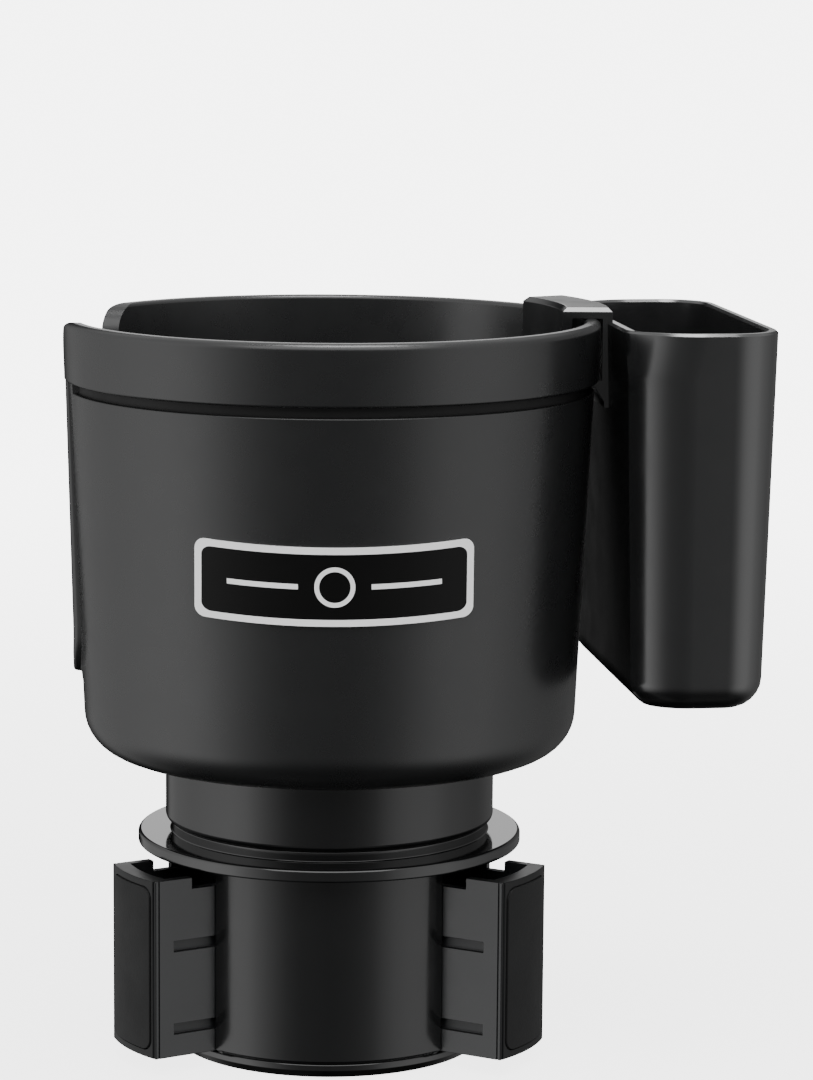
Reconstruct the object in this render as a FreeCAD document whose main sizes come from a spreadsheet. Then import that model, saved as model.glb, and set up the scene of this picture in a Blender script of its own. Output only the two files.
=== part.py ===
import FreeCAD, Part
import math
import os
import re
import Sketcher

# A cup holder expander: a wide cup on a turning neck, over a narrow base whose three arms
# spread to grip a car's own cup holder when the cup is turned, with a phone pocket hooked
# over the cup's rim. Millimetres, +Z up, origin on the base's axis at its bottom face.

Vec = FreeCAD.Vector
UP = Vec(0, 0, 1)
ORIGIN = Vec(0, 0, 0)
NEARLY = 0.01
doc = FreeCAD.newDocument("CupHolderExpander")

# Driving dimensions, in millimetres, degrees and counts
SIZES = {
    # Base cover and housing
    "base_radius": 33.0,
    "cover_inset": 0.6,
    "cover_foot_inset": 1.3,
    "cover_height": 3.0,
    "housing_wall": 2.4,
    "housing_height": 38.2,
    "housing_lip": 0.7,
    "post_radius": 7.0,
    "web_thickness": 2.4,
    "rail_thickness": 1.4,
    "rail_reach": 7.6,
    "tongue_reach": 2.6,
    "tongue_thickness": 1.8,
    # Arms, with what shows of each when it is drawn in
    "arm_travel": 9.0,
    "arm_head_depth": 4.2,
    "arm_width": 18.6,
    "arm_face_radius": 34.0,
    "arm_head_rise": 2.2,
    "arm_shell": 2.0,
    "arm_face_wall": 3.4,
    "arm_rib_back": 13.7,
    "groove_height": 2.2,
    "groove_depth": 1.0,
    "groove_land": 0.95,
    "lower_groove": 4.6,
    "upper_groove": 21.5,
    "follower_radius": 1.8,
    "follower_land": 1.6,
    # Rubber pads set into the arms' faces
    "pad_margin": 1.4,
    "pad_rounding": 2.4,
    "pad_recess": 1.0,
    "pad_proud": 0.25,
    # Turning stack above the base
    "turn_angle": 150.0,
    "scroll_thickness": 3.9,
    "scroll_inset": 3.4,
    "scroll_land": 2.7,
    "flange_overhang": 6.1,
    "flange_thickness": 2.6,
    "flange_edge": 0.6,
    "collar_height": 2.0,
    "neck_swell": 0.5,
    "neck_wall": 2.4,
    "neck_floor": 3.0,
    "neck_height": 14.7,
    "neck_lead": 1.6,
    "neck_boss_radius": 4.0,
    "thrust_thickness": 0.9,
    "thrust_width": 4.0,
    "washer_thickness": 1.2,
    "washer_width": 5.0,
    # Cup
    "rim_radius": 54.2,
    "band_draft": 0.4,
    "band_step": 1.3,
    "wall_draft": 3.3,
    "foot_rounding": 11.0,
    "wall": 2.7,
    "cup_floor": 3.2,
    "cup_height": 87.9,
    "cup_hole_radius": 14.0,
    "groove_line_depth": 1.1,
    "groove_line_height": 2.0,
    "band_height": 12.2,
    "rim_thickness": 3.3,
    "rim_rounding": 1.4,
    # Slot for a mug's handle, with its raised border
    "slot_azimuth": 170.0,
    "slot_width": 33.0,
    "slot_rise": 18.6,
    "slot_rounding": 8.0,
    "slot_flare": 5.0,
    "border_width": 3.2,
    "border_height": 1.75,
    "border_step": 0.05,
    # Mat in the cup
    "mat_gap": 0.6,
    "mat_thickness": 2.0,
    "mat_ring_count": 5,
    "mat_ring_depth": 0.8,
    "mat_ring_width": 1.6,
    # Label on the cup's front
    "label_azimuth": -89.1,
    "label_width": 53.4,
    "label_height": 15.2,
    "label_rise": 41.4,
    "label_rounding": 2.0,
    "label_thickness": 0.6,
    # Phone pocket, hooked over the rim
    "pocket_azimuth": 6.8,
    "pocket_shift": 4.6,
    "pocket_gap": 0.9,
    "pocket_width": 30.9,
    "pocket_length": 78.4,
    "pocket_height": 75.7,
    "pocket_drop": 0.5,
    "pocket_wall": 2.2,
    "pocket_floor": 2.6,
    "pocket_rounding": 10.6,
    "pocket_foot_rounding": 6.0,
    "pocket_lip_rounding": 0.5,
    "pocket_draft": 2.05,
    "ear_rounding": 5.0,
    "ear_height": 9.0,
    "hook_start": -7.1,
    "hook_sweep": 31.8,
    "hook_leg_wall": 2.0,
    "hook_room": 1.6,
    "hook_roof": 2.3,
    "hook_leg": 18.0,
    "hook_edge": 0.8,
    "catch_height": 4.6,
    # Fasteners
    "screw_inset": 8.5,
    "screw_radius": 1.5,
    "screw_head_radius": 2.6,
    "screw_head_height": 1.6,
    "scroll_screw_inset": 4.7,
    "scroll_screw_lead": 20.0,
    "pivot_screw_radius": 2.5,
    "pivot_head_radius": 4.7,
    "pivot_head_height": 2.8,
    "pivot_screw_length": 16.0,
    # Clearances
    "running_fit": 0.06,
    "thread_fit": 0.02,
    "turning_gap": 0.3,
    "slide_gap": 0.25,
    "pad_gap": 0.2,
    "slot_gap": 0.1,
    "hook_gap": 0.3,
}

sizes = doc.addObject("Spreadsheet::Sheet", "Sizes")
for row, (name, value) in enumerate(SIZES.items(), start=1):
    sizes.set(f"A{row}", name)
    sizes.set(f"B{row}", str(value))
    sizes.setAlias(f"B{row}", name)
doc.recompute()


def bound(expression):
    """The expression as a feature needs it, with each size read from the sheet."""
    def read(word):
        return f"Sizes.{word[0]}" if word[0] in SIZES else word[0]
    return re.sub(r"[a-z_]+", read, str(expression))


def number(expression):
    """The expression's value with the sheet's present sizes."""
    return float(sizes.evalExpression(bound(expression)))


# Heights and radii that follow from the driving dimensions, from the base upwards
COVER_RADIUS = "(base_radius - cover_inset)"
HOUSING_TOP = "(cover_height + housing_height)"
HOUSING_INNER = "(base_radius - housing_wall)"
FLANGE_BOTTOM = f"({HOUSING_TOP} + turning_gap)"
FLANGE_TOP = f"({FLANGE_BOTTOM} + flange_thickness)"
FLANGE_RADIUS = "(base_radius + flange_overhang)"
NECK_RADIUS = "(base_radius + neck_swell)"
NECK_BOTTOM = f"({FLANGE_TOP} + collar_height)"
NECK_TOP = f"({NECK_BOTTOM} + neck_height)"
NECK_FLOOR_TOP = f"({NECK_BOTTOM} + neck_floor)"
POST_TOP = f"({NECK_FLOOR_TOP} + thrust_thickness + turning_gap / 3)"
PIVOT_BORE = "(post_radius + running_fit)"
SCREW_CIRCLE = "(base_radius - screw_inset)"

# The scroll disc, and the arms that it draws in
SCROLL_BOTTOM = f"({FLANGE_BOTTOM} - scroll_thickness)"
SCROLL_RADIUS = f"({HOUSING_INNER} - scroll_inset)"
FOLLOWER_AT = f"({SCROLL_RADIUS} - scroll_land - slot_gap - follower_radius)"
ARM_BOTTOM = "(cover_height + turning_gap)"
ARM_TAIL_TOP = f"({SCROLL_BOTTOM} - turning_gap)"
ARM_HEAD_TOP = f"({ARM_TAIL_TOP} + arm_head_rise)"
ARM_TAIL = f"({FOLLOWER_AT} - follower_radius - follower_land)"
ARM_STEP = f"({SCROLL_RADIUS} + arm_travel + 2 * slide_gap)"
ARM_REACH = "(base_radius + arm_travel + arm_head_depth)"
FACE_CENTRE = f"({ARM_REACH} - arm_face_radius)"
GROOVE_END = f"({HOUSING_INNER} + slide_gap + arm_travel + groove_land)"
HALF_ARM = "(arm_width / 2)"
WINDOW_HALF = "(arm_width / 2 + slide_gap)"
WEB_TOP = f"({ARM_TAIL_TOP} - turning_gap)"

# The cup, and the pocket that hangs on it
RIM_TOP = f"({NECK_TOP} + cup_height)"
RIM_INNER = "(rim_radius - rim_thickness)"
BAND_BOTTOM = f"({RIM_TOP} - band_height)"
BAND_MIDDLE = f"({BAND_BOTTOM} + band_height / 2)"
BAND_FOOT_RADIUS = "(rim_radius - band_draft)"
WALL_HEAD = f"({BAND_BOTTOM} - groove_line_height)"
WALL_HEAD_RADIUS = "(rim_radius - band_step)"
FOOT_RADIUS = f"({WALL_HEAD_RADIUS} - wall_draft)"
FLOOR_INNER = f"({FOOT_RADIUS} - wall)"
CUP_FLOOR_TOP = f"({NECK_TOP} + cup_floor)"
MAT_RADIUS = f"({FLOOR_INNER} - (foot_rounding - wall) - mat_gap)"
SLOT_FLOOR = f"({NECK_TOP} + slot_rise)"
LABEL_MIDDLE = f"({NECK_TOP} + label_rise)"
POCKET_TOP = f"({RIM_TOP} - pocket_drop)"
POCKET_BOTTOM = f"({POCKET_TOP} - pocket_height)"
POCKET_NEAR = "(rim_radius + pocket_gap)"


def wall_radius(height):
    """The cup's outer wall radius at a height below the band."""
    rise = f"(({height}) - {NECK_TOP}) / ({WALL_HEAD} - {NECK_TOP})"
    return f"({FOOT_RADIUS} + wall_draft * {rise})"


def inner_radius(height):
    """The cup's inner wall radius at a height."""
    rise = f"(({height}) - {CUP_FLOOR_TOP}) / ({RIM_TOP} - {CUP_FLOOR_TOP})"
    return f"({FLOOR_INNER} + ({RIM_INNER} - {FLOOR_INNER}) * {rise})"


# Sketches and features
def origin_feature(body, role):
    return next(feature for feature in body.Origin.OriginFeatures if feature.Role == role)


def new_body(name):
    return doc.addObject("PartDesign::Body", name)


def new_sketch(body, role, name, height="0"):
    """A sketch on one of the body's origin planes, or at a height above it."""
    sketch = body.newObject("Sketcher::SketchObject", name)
    sketch.AttachmentSupport = [(origin_feature(body, role), "")]
    sketch.MapMode = "FlatFace"
    sketch.setExpression("AttachmentOffset.Base.z", bound(height))
    return sketch


def constrain(sketch, kind, *where, value):
    """A dimension bound to an expression."""
    index = sketch.addConstraint(Sketcher.Constraint(kind, *where, number(value)))
    sketch.setExpression(f"Constraints[{index}]", bound(value))


def place(sketch, geometry, point, x, y):
    """Ties a point to the sketch's origin. A coordinate of None is left to the curve it ends."""
    if x is not None:
        constrain(sketch, "DistanceX", -1, 1, geometry, point, value=x)
    if y is not None:
        constrain(sketch, "DistanceY", -1, 1, geometry, point, value=y)


def on_bow(x, y, bow):
    """The corner's place, where its free x lies on the bow's circle."""
    if x is not None:
        return Vec(number(x), number(y), 0)
    centre = Vec(number(bow[0]), number(bow[1]), 0)
    return Vec(centre.x + math.sqrt(number(bow[2]) ** 2 - (number(y) - centre.y) ** 2), number(y), 0)


def outline(sketch, corners, bows=None):
    """A closed outline. A corner is (x, y) or (x, y, rounding); bows maps the number of a side
    to the (x, y, radius) of the circle that it follows in place of a straight line."""
    bows = bows or {}
    count = len(corners)
    touching = [bows.get(i) or bows.get((i - 1) % count) for i in range(count)]
    spots = [on_bow(corner[0], corner[1], bow) for corner, bow in zip(corners, touching)]
    rounding = [number(corner[2]) if len(corner) > 2 else 0.0 for corner in corners]
    entries, exits = [], []
    for i in range(count):
        back = (spots[i - 1] - spots[i]).normalize()
        ahead = (spots[(i + 1) % count] - spots[i]).normalize()
        reach = rounding[i] / math.tan(back.getAngle(ahead) / 2) if rounding[i] else 0.0
        entries.append(spots[i] + back * reach)
        exits.append(spots[i] + ahead * reach)
    sides = []
    for i in range(count):
        start, end = exits[i], entries[(i + 1) % count]
        if i in bows:
            sides.append(arc_between(sketch, start, end, bows[i]))
        else:
            sides.append((sketch.addGeometry(Part.LineSegment(start, end), False), 1, 2))
    for i in range(count):
        before, after = sides[i - 1], sides[i]
        if not rounding[i]:
            sketch.addConstraint(Sketcher.Constraint("Coincident", before[0], before[2], after[0], after[1]))
            place(sketch, after[0], after[1], corners[i][0], corners[i][1])
            continue
        arc, arc_start, arc_end = corner_arc(sketch, spots[i], entries[i], exits[i], rounding[i])
        sketch.addConstraint(Sketcher.Constraint("Tangent", before[0], before[2], arc, arc_start))
        sketch.addConstraint(Sketcher.Constraint("Tangent", arc, arc_end, after[0], after[1]))
        constrain(sketch, "Radius", arc, value=corners[i][2])
        mark = sketch.addGeometry(Part.Point(spots[i]), True)
        place(sketch, mark, 1, corners[i][0], corners[i][1])
        sketch.addConstraint(Sketcher.Constraint("PointOnObject", mark, 1, before[0]))
        sketch.addConstraint(Sketcher.Constraint("PointOnObject", mark, 1, after[0]))
    return sketch


def arc_between(sketch, start, end, bow):
    """The shorter arc of the bow's circle, as (geometry, its point at start, its point at end)."""
    centre = Vec(number(bow[0]), number(bow[1]), 0)
    angles = [math.atan2(spot.y - centre.y, spot.x - centre.x) for spot in (start, end)]
    forward = (angles[1] - angles[0]) % (2 * math.pi) < math.pi
    low, high = angles if forward else angles[::-1]
    circle = Part.Circle(centre, UP, number(bow[2]))
    arc = sketch.addGeometry(Part.ArcOfCircle(circle, low, high), False)
    place(sketch, arc, 3, bow[0], bow[1])
    constrain(sketch, "Radius", arc, value=bow[2])
    return (arc, 1, 2) if forward else (arc, 2, 1)


def corner_arc(sketch, spot, entry, leave, radius):
    """The rounding of a corner, as (geometry, its point at entry, its point at leave)."""
    middle = (entry + leave) / 2 - spot
    depth = math.hypot(radius, (entry - spot).Length)
    centre = spot + middle.normalize() * depth
    angles = [math.atan2(end.y - centre.y, end.x - centre.x) for end in (entry, leave)]
    forward = (angles[1] - angles[0]) % (2 * math.pi) < math.pi
    low, high = angles if forward else angles[::-1]
    arc = sketch.addGeometry(Part.ArcOfCircle(Part.Circle(centre, UP, radius), low, high), False)
    return (arc, 1, 2) if forward else (arc, 2, 1)


def circle(sketch, x, y, radius):
    geometry = sketch.addGeometry(Part.Circle(Vec(number(x), number(y), 0), UP, number(radius)), False)
    place(sketch, geometry, 3, x, y)
    constrain(sketch, "Radius", geometry, value=radius)
    return sketch


def rectangle(x_low, x_high, y_low, y_high, rounding=None):
    """Corners of an upright rectangle, for outline."""
    extra = (rounding,) if rounding else ()
    spots = ((x_low, y_low), (x_high, y_low), (x_high, y_high), (x_low, y_high))
    return [spot + extra for spot in spots]


def feature(body, kind, name, sketch, length=None, **options):
    """A feature on a sketch, with its length bound and its other settings given."""
    made = body.newObject(f"PartDesign::{kind}", name)
    made.Profile = sketch
    if length is not None:
        made.setExpression("Length", bound(length))
    for option, value in options.items():
        setattr(made, option, value)
    sketch.Visibility = False
    return made


def revolve(body, name, corners, kind="Revolution"):
    """A profile of (radius, height) corners turned about Z."""
    sketch = outline(new_sketch(body, "XZ_Plane", f"{name}_profile"), corners)
    return feature(body, kind, name, sketch, ReferenceAxis=(sketch, ["V_Axis"]), Angle=360.0)


def pad(body, name, low, high, draw):
    """Material between two heights, with the outline that draw puts in its sketch."""
    sketch = draw(new_sketch(body, "XY_Plane", f"{name}_outline", low))
    return feature(body, "Pad", name, sketch, f"({high}) - ({low})")


def pocket(body, name, low, high, draw):
    """A cut between two heights, with the outline that draw puts in its sketch."""
    sketch = draw(new_sketch(body, "XY_Plane", f"{name}_outline", low))
    return feature(body, "Pocket", name, sketch, f"({high}) - ({low})", Reversed=True)


def thirds(body, name, originals):
    """Three copies of the features, evenly spaced about Z."""
    pattern = body.newObject("PartDesign::PolarPattern", name)
    pattern.Originals = originals
    pattern.Axis = (origin_feature(body, "Z_Axis"), [""])
    pattern.Angle = 360.0
    pattern.Occurrences = 3
    body.Tip = pattern
    return pattern


def boolean(kind, name, base, tool):
    """A Part::Cut, Part::Fuse or Part::Common of two objects."""
    made = doc.addObject(f"Part::{kind}", name)
    made.Base = base
    made.Tool = tool
    return made


def turned(azimuth, turn=ORIGIN):
    return FreeCAD.Placement(turn, FreeCAD.Rotation(UP, number(azimuth)))


ARM_AZIMUTHS = {"left": 210.0, "right": 330.0, "back": 90.0}
HOUSING_AZIMUTH = ARM_AZIMUTHS["back"]

# Each group of screws: its circle, and each screw's azimuth
COVER_SCREWS = (SCREW_CIRCLE, [azimuth + 60 for azimuth in ARM_AZIMUTHS.values()])
SCROLL_SCREWS = (f"{SCROLL_RADIUS} - scroll_screw_inset",
                 [azimuth - number("scroll_screw_lead") for azimuth in ARM_AZIMUTHS.values()])
CUP_SCREWS = (SCREW_CIRCLE, [azimuth - 90 for azimuth in ARM_AZIMUTHS.values()])

PIECES = {}


def piece(made, label):
    """Names a finished piece; its label is its file's name."""
    made.Label = label
    PIECES[label] = made
    return made


# Base cover: the glossy disc under the base
def base_cover():
    body = new_body("base_cover")
    revolve(body, "cover_disc", [
        ("0", "0"),
        (f"{COVER_RADIUS} - cover_foot_inset", "0", "cover_foot_inset * 0.6"),
        (COVER_RADIUS, "cover_height * 0.6"),
        (COVER_RADIUS, "cover_height"),
        ("0", "cover_height"),
    ])
    hole = pocket(body, "screw_hole", "0", "cover_height", lambda s: circle(
        s, f"{SCREW_CIRCLE} * cos(60)", f"{SCREW_CIRCLE} * sin(60)", "screw_radius + running_fit"))
    sink = pocket(body, "screw_sink", "0", "screw_head_height + turning_gap", lambda s: circle(
        s, f"{SCREW_CIRCLE} * cos(60)", f"{SCREW_CIRCLE} * sin(60)", "screw_head_radius + slide_gap"))
    thirds(body, "screw_places", [hole, sink])
    body.Placement = turned(HOUSING_AZIMUTH)
    return piece(body, "base_cover")


# Base housing: a tube with a window for each arm, the pivot post on three webs, and rails
def base_housing():
    body = new_body("base_housing")
    revolve(body, "tube", [
        (HOUSING_INNER, "cover_height"),
        ("base_radius - housing_lip", "cover_height"),
        ("base_radius", "cover_height + housing_lip"),
        ("base_radius", HOUSING_TOP, "housing_lip"),
        (HOUSING_INNER, HOUSING_TOP),
    ])
    window = pocket(body, "window", "cover_height", HOUSING_TOP, lambda s: outline(
        s, rectangle(f"{HOUSING_INNER} - 2 * housing_wall", "base_radius + housing_wall",
                     f"-{WINDOW_HALF}", WINDOW_HALF)))
    thirds(body, "windows", [window])
    pad(body, "post", "cover_height", POST_TOP, lambda s: circle(s, "0", "0", "post_radius"))
    web = pad(body, "web", "cover_height", WEB_TOP, draw_web)
    boss = pad(body, "screw_boss", "cover_height", f"{WEB_TOP} / 2", lambda s: circle(
        s, f"{SCREW_CIRCLE} * cos(60)", f"{SCREW_CIRCLE} * sin(60)", "screw_radius + web_thickness * 0.7"))
    rails = pad(body, "rail", "cover_height", WEB_TOP, lambda s: draw_rails(
        s, f"{FOLLOWER_AT} - rail_reach", f"{HOUSING_INNER} + slide_gap", WINDOW_HALF,
        f"{WINDOW_HALF} + rail_thickness"))
    tongues = [pad(body, f"{level}_tongue", tongue_low(level), f"{tongue_low(level)} + tongue_thickness",
                   lambda s: draw_rails(s, f"{FOLLOWER_AT} - tongue_reach", f"{HOUSING_INNER} + slide_gap",
                                        f"{HALF_ARM} - groove_depth + slide_gap",
                                        f"{WINDOW_HALF} + rail_thickness / 2"))
               for level in ("lower", "upper")]
    thirds(body, "webs_and_rails", [web, boss, rails] + tongues)
    pilot = pocket(body, "pilot_hole", "cover_height", f"{WEB_TOP} / 2 - web_thickness", lambda s: circle(
        s, f"{SCREW_CIRCLE} * cos(60)", f"{SCREW_CIRCLE} * sin(60)", "screw_radius + thread_fit"))
    thirds(body, "pilot_holes", [pilot])
    pocket(body, "pivot_thread", f"{POST_TOP} - pivot_screw_length", POST_TOP, lambda s: circle(
        s, "0", "0", "pivot_screw_radius + thread_fit"))
    body.Placement = turned(HOUSING_AZIMUTH)
    return piece(body, "base_housing")


def tongue_low(level):
    """A tongue's underside, in the middle of its groove."""
    return f"({ARM_BOTTOM} + {level}_groove + (groove_height - tongue_thickness) / 2)"


def draw_web(sketch):
    """A web from the post to the wall, half-way between two arms."""
    along = ("post_radius * 0.5", f"({HOUSING_INNER} + housing_wall / 2)")
    corners = []
    for reach, side in ((along[0], -1), (along[1], -1), (along[1], 1), (along[0], 1)):
        half = f"({side} * web_thickness / 2)"
        corners.append((f"{reach} * cos(60) - {half} * sin(60)", f"{reach} * sin(60) + {half} * cos(60)"))
    return outline(sketch, corners)


def draw_rails(sketch, start, end, low, high):
    """A pair of strips, one along each side of an arm."""
    outline(sketch, rectangle(start, end, low, high))
    return outline(sketch, rectangle(start, end, f"-({high})", f"-({low})"))


# Arm: an open-topped block that rides on the rails, with its follower and its face
def draw_block(sketch, start, inset="0", face_inset="0"):
    """An arm's plan from a distance out to its bowed face, or inset for the hollow."""
    side = f"({HALF_ARM} - {inset})"
    corners = [(start, f"-{side}"), (None, f"-{side}"), (None, side), (start, side)]
    return outline(sketch, corners, {1: (FACE_CENTRE, "0", f"(arm_face_radius - {face_inset})")})


def bowed_plate(name, margin, inner, outer):
    """A plate bowed like the arm's face, with the outline of the pad, between two radii."""
    ring = new_body(f"{name}_ring")
    pad(ring, f"{name}_sector", ARM_BOTTOM, ARM_HEAD_TOP, lambda s: circle(
        circle(s, FACE_CENTRE, "0", inner), FACE_CENTRE, "0", outer))
    block = new_body(f"{name}_block")
    sketch = outline(new_sketch(block, "YZ_Plane", f"{name}_outline"), rectangle(
        f"({margin}) - {HALF_ARM}", f"{HALF_ARM} - ({margin})", f"{ARM_BOTTOM} + ({margin})",
        f"{ARM_HEAD_TOP} - ({margin})", f"pad_rounding + pad_margin - ({margin})"))
    feature(block, "Pad", f"{name}_depth", sketch, f"{ARM_REACH} + arm_face_wall")
    return boolean("Common", f"{name}_plate", ring, block)


def arm(side, azimuth):
    body = new_body(f"arm_{side}_block")
    pad(body, f"{side}_tail", ARM_BOTTOM, ARM_TAIL_TOP, lambda s: draw_block(s, ARM_TAIL))
    pad(body, f"{side}_head", ARM_TAIL_TOP, ARM_HEAD_TOP, lambda s: draw_block(s, ARM_STEP))
    hollow_start = f"({FOLLOWER_AT} + follower_radius + follower_land)"
    pocket(body, f"{side}_hollow", f"{ARM_BOTTOM} + arm_shell", ARM_HEAD_TOP, lambda s: draw_block(
        s, hollow_start, "arm_shell", "arm_face_wall"))
    rib_back = f"({ARM_REACH} - arm_rib_back)"
    rib_half = f"({HALF_ARM} - arm_shell / 2)"
    pad(body, f"{side}_rib", f"{ARM_BOTTOM} + arm_shell / 2", f"{ARM_TAIL_TOP} - arm_shell",
        lambda s: outline(s, rectangle(rib_back, f"{rib_back} + arm_shell * 0.8", f"-{rib_half}", rib_half)))
    for level in ("lower", "upper"):
        low = f"({ARM_BOTTOM} + {level}_groove)"
        pocket(body, f"{side}_{level}_groove", low, f"{low} + groove_height", lambda s: draw_rails(
            s, f"{ARM_TAIL} - slide_gap", GROOVE_END, f"{HALF_ARM} - groove_depth",
            f"{HALF_ARM} + slide_gap"))
    pad(body, f"{side}_follower", ARM_TAIL_TOP, f"{FLANGE_BOTTOM} - 2 * slide_gap", lambda s: circle(
        s, FOLLOWER_AT, "0", "follower_radius"))
    recess = bowed_plate(f"{side}_recess", "pad_margin", "arm_face_radius - pad_recess",
                         "arm_face_radius + arm_face_wall")
    made = boolean("Cut", f"arm_{side}_cut", body, recess)
    made.Placement = turned(azimuth)
    piece(made, f"arm_{side}")
    rubber = bowed_plate(f"{side}_pad", "pad_margin + pad_gap", "arm_face_radius - pad_recess",
                         "arm_face_radius + pad_proud")
    rubber.Placement = turned(azimuth)
    piece(rubber, f"grip_pad_{side}")


# Scroll disc: its three spiral slots draw the arms' followers in as it turns
def spiral_side(offset, steps=16):
    """One edge of a slot: points a set distance beside the spiral that the follower's centre
    follows in the turning disc."""
    turn = math.radians(number("turn_angle"))
    rate = number("arm_travel") / turn
    points = []
    for step in range(steps + 1):
        angle = turn * step / steps
        radius = number(FOLLOWER_AT) - rate * angle
        ahead = Vec(-rate * math.cos(angle) - radius * math.sin(angle),
                    -rate * math.sin(angle) + radius * math.cos(angle), 0).normalize()
        centre = Vec(radius * math.cos(angle), radius * math.sin(angle), 0)
        points.append(centre + Vec(-ahead.y, ahead.x, 0) * offset)
    return points


def spiral_slot():
    """A slot's cutter: two spiral edges closed by a round end at each limit of the turn."""
    half = number("follower_radius + slot_gap")
    inner, outer = spiral_side(half), spiral_side(-half)
    curves = []
    for points in (inner, outer[::-1]):
        curve = Part.BSplineCurve()
        curve.interpolate(points)
        curves.append(curve.toShape())
    ends = []
    for start, end in ((inner[-1], outer[-1]), (outer[0], inner[0])):
        middle = (start + end) / 2
        across = (end - start).normalize()
        bulge = middle + Vec(-across.y, across.x, 0) * half
        ends.append(Part.Arc(start, bulge, end).toShape())
    face = Part.Face(Part.Wire([curves[0], ends[0], curves[1], ends[1]]))
    face.translate(UP * number(f"{SCROLL_BOTTOM} - slot_gap"))
    return face.extrude(UP * number("scroll_thickness + 2 * slot_gap"))


def scroll_disc():
    body = new_body("scroll_blank")
    pad(body, "scroll_plate", SCROLL_BOTTOM, FLANGE_BOTTOM, lambda s: circle(
        circle(s, "0", "0", SCROLL_RADIUS), "0", "0", PIVOT_BORE))
    slots = doc.addObject("Part::Feature", "scroll_slots")
    slots.Shape = around(spiral_slot(), ARM_AZIMUTHS.values())
    holes = screw_holes("scroll_screw_holes", SCROLL_BOTTOM, FLANGE_BOTTOM, SCROLL_SCREWS, sink="down")
    slotted = boolean("Cut", "scroll_slotted", body, slots)
    return piece(boolean("Cut", "scroll_disc_cut", slotted, holes), "scroll_disc")


# Turning flange: the glossy ring that rides over the arms
def turn_flange():
    body = new_body("flange_blank")
    revolve(body, "flange_ring", [
        (PIVOT_BORE, FLANGE_BOTTOM),
        (FLANGE_RADIUS, FLANGE_BOTTOM, "flange_edge"),
        (FLANGE_RADIUS, FLANGE_TOP, "flange_edge"),
        (COVER_RADIUS, FLANGE_TOP),
        (COVER_RADIUS, NECK_BOTTOM),
        (PIVOT_BORE, NECK_BOTTOM),
    ])
    holes = screw_holes("flange_screw_holes", FLANGE_BOTTOM, NECK_BOTTOM, SCROLL_SCREWS)
    return piece(boolean("Cut", "turn_flange_cut", body, holes), "turn_flange")


# Neck: the short tube between the flange and the cup, with a floor that turns on the post
def neck():
    body = new_body("neck_blank")
    revolve(body, "neck_tube", [
        (PIVOT_BORE, NECK_BOTTOM),
        (NECK_RADIUS, NECK_BOTTOM, "neck_lead"),
        (NECK_RADIUS, NECK_TOP),
        (f"{NECK_RADIUS} - neck_wall", NECK_TOP),
        (f"{NECK_RADIUS} - neck_wall", NECK_FLOOR_TOP, "neck_lead"),
        (PIVOT_BORE, NECK_FLOOR_TOP),
    ])
    boss = pad(body, "cup_boss", NECK_FLOOR_TOP, NECK_TOP, lambda s: circle(
        s, SCREW_CIRCLE, "0", "neck_boss_radius"))
    thirds(body, "cup_bosses", [boss])
    upper = screw_holes("neck_upper_holes", f"{NECK_FLOOR_TOP} + screw_radius", NECK_TOP, CUP_SCREWS,
                        fit="thread_fit")
    lower = screw_holes("neck_lower_holes", NECK_BOTTOM, f"{NECK_FLOOR_TOP} - thrust_thickness",
                        SCROLL_SCREWS, fit="thread_fit")
    drilled = boolean("Cut", "neck_drilled", body, upper)
    return piece(boolean("Cut", "neck_cut", drilled, lower), "neck")


# Screws: pan heads with a hexagon socket, three to a group
def rod(radius, low, high, distance=0.0):
    """A cylinder between two heights, at a distance out along +X."""
    return Part.makeCylinder(number(radius), number(f"({high}) - ({low})"), Vec(distance, 0, number(low)))


def around(shape, azimuths):
    return Part.makeCompound([shape.rotated(ORIGIN, UP, azimuth) for azimuth in azimuths])


def screw_holes(name, low, high, places, sink=None, fit="running_fit"):
    """Clearance holes for a group of screws, sunk for their heads at the low or high end."""
    distance, azimuths = number(places[0]), places[1]
    cutter = rod(f"screw_radius + {fit}", low, high, distance)
    head = "screw_head_height + slot_gap"
    ends = {"down": (low, f"{low} + {head}"), "up": (f"{high} - ({head})", high)}
    if sink:
        cutter = cutter.fuse(rod("screw_head_radius + slide_gap", *ends[sink], distance))
    made = doc.addObject("Part::Feature", name)
    made.Shape = around(cutter, azimuths)
    return made


def socket_screw(shank, head_radius, head_low, head_high, tip, distance, head_up):
    """A screw along Z with its head at one end and a hexagon socket in the head."""
    seat = head_low if head_up else head_high
    low, high = (tip, seat) if head_up else (seat, tip)
    screw = rod(shank, low, high, distance).fuse(rod(head_radius, head_low, head_high, distance))
    depth = number(f"({head_high}) - ({head_low})") * 0.6
    hexagon = Part.makePolygon([Vec(distance, 0, 0) + Vec(math.cos(a), math.sin(a), 0) * number(shank) * 0.9
                                for a in (math.radians(60 * k) for k in range(7))])
    socket = Part.Face(hexagon).extrude(UP * depth)
    start = number(head_high) - depth if head_up else number(head_low)
    return screw.cut(socket.translated(UP * start)).removeSplitter()


def screw_group(label, places, head_low, tip, head_up):
    """Three like screws in one node."""
    distance, azimuths = number(places[0]), places[1]
    screw = socket_screw("screw_radius", "screw_head_radius", head_low,
                         f"{head_low} + screw_head_height", tip, distance, head_up)
    made = doc.addObject("Part::Feature", f"{label}_group")
    made.Shape = around(screw, azimuths)
    return piece(made, label)


def ring_piece(label, inner, outer, low, high):
    """A flat ring about the axis."""
    body = new_body(f"{label}_ring")
    pad(body, f"{label}_disc", low, high, lambda s: circle(circle(s, "0", "0", outer), "0", "0", inner))
    return piece(body, label)


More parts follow.
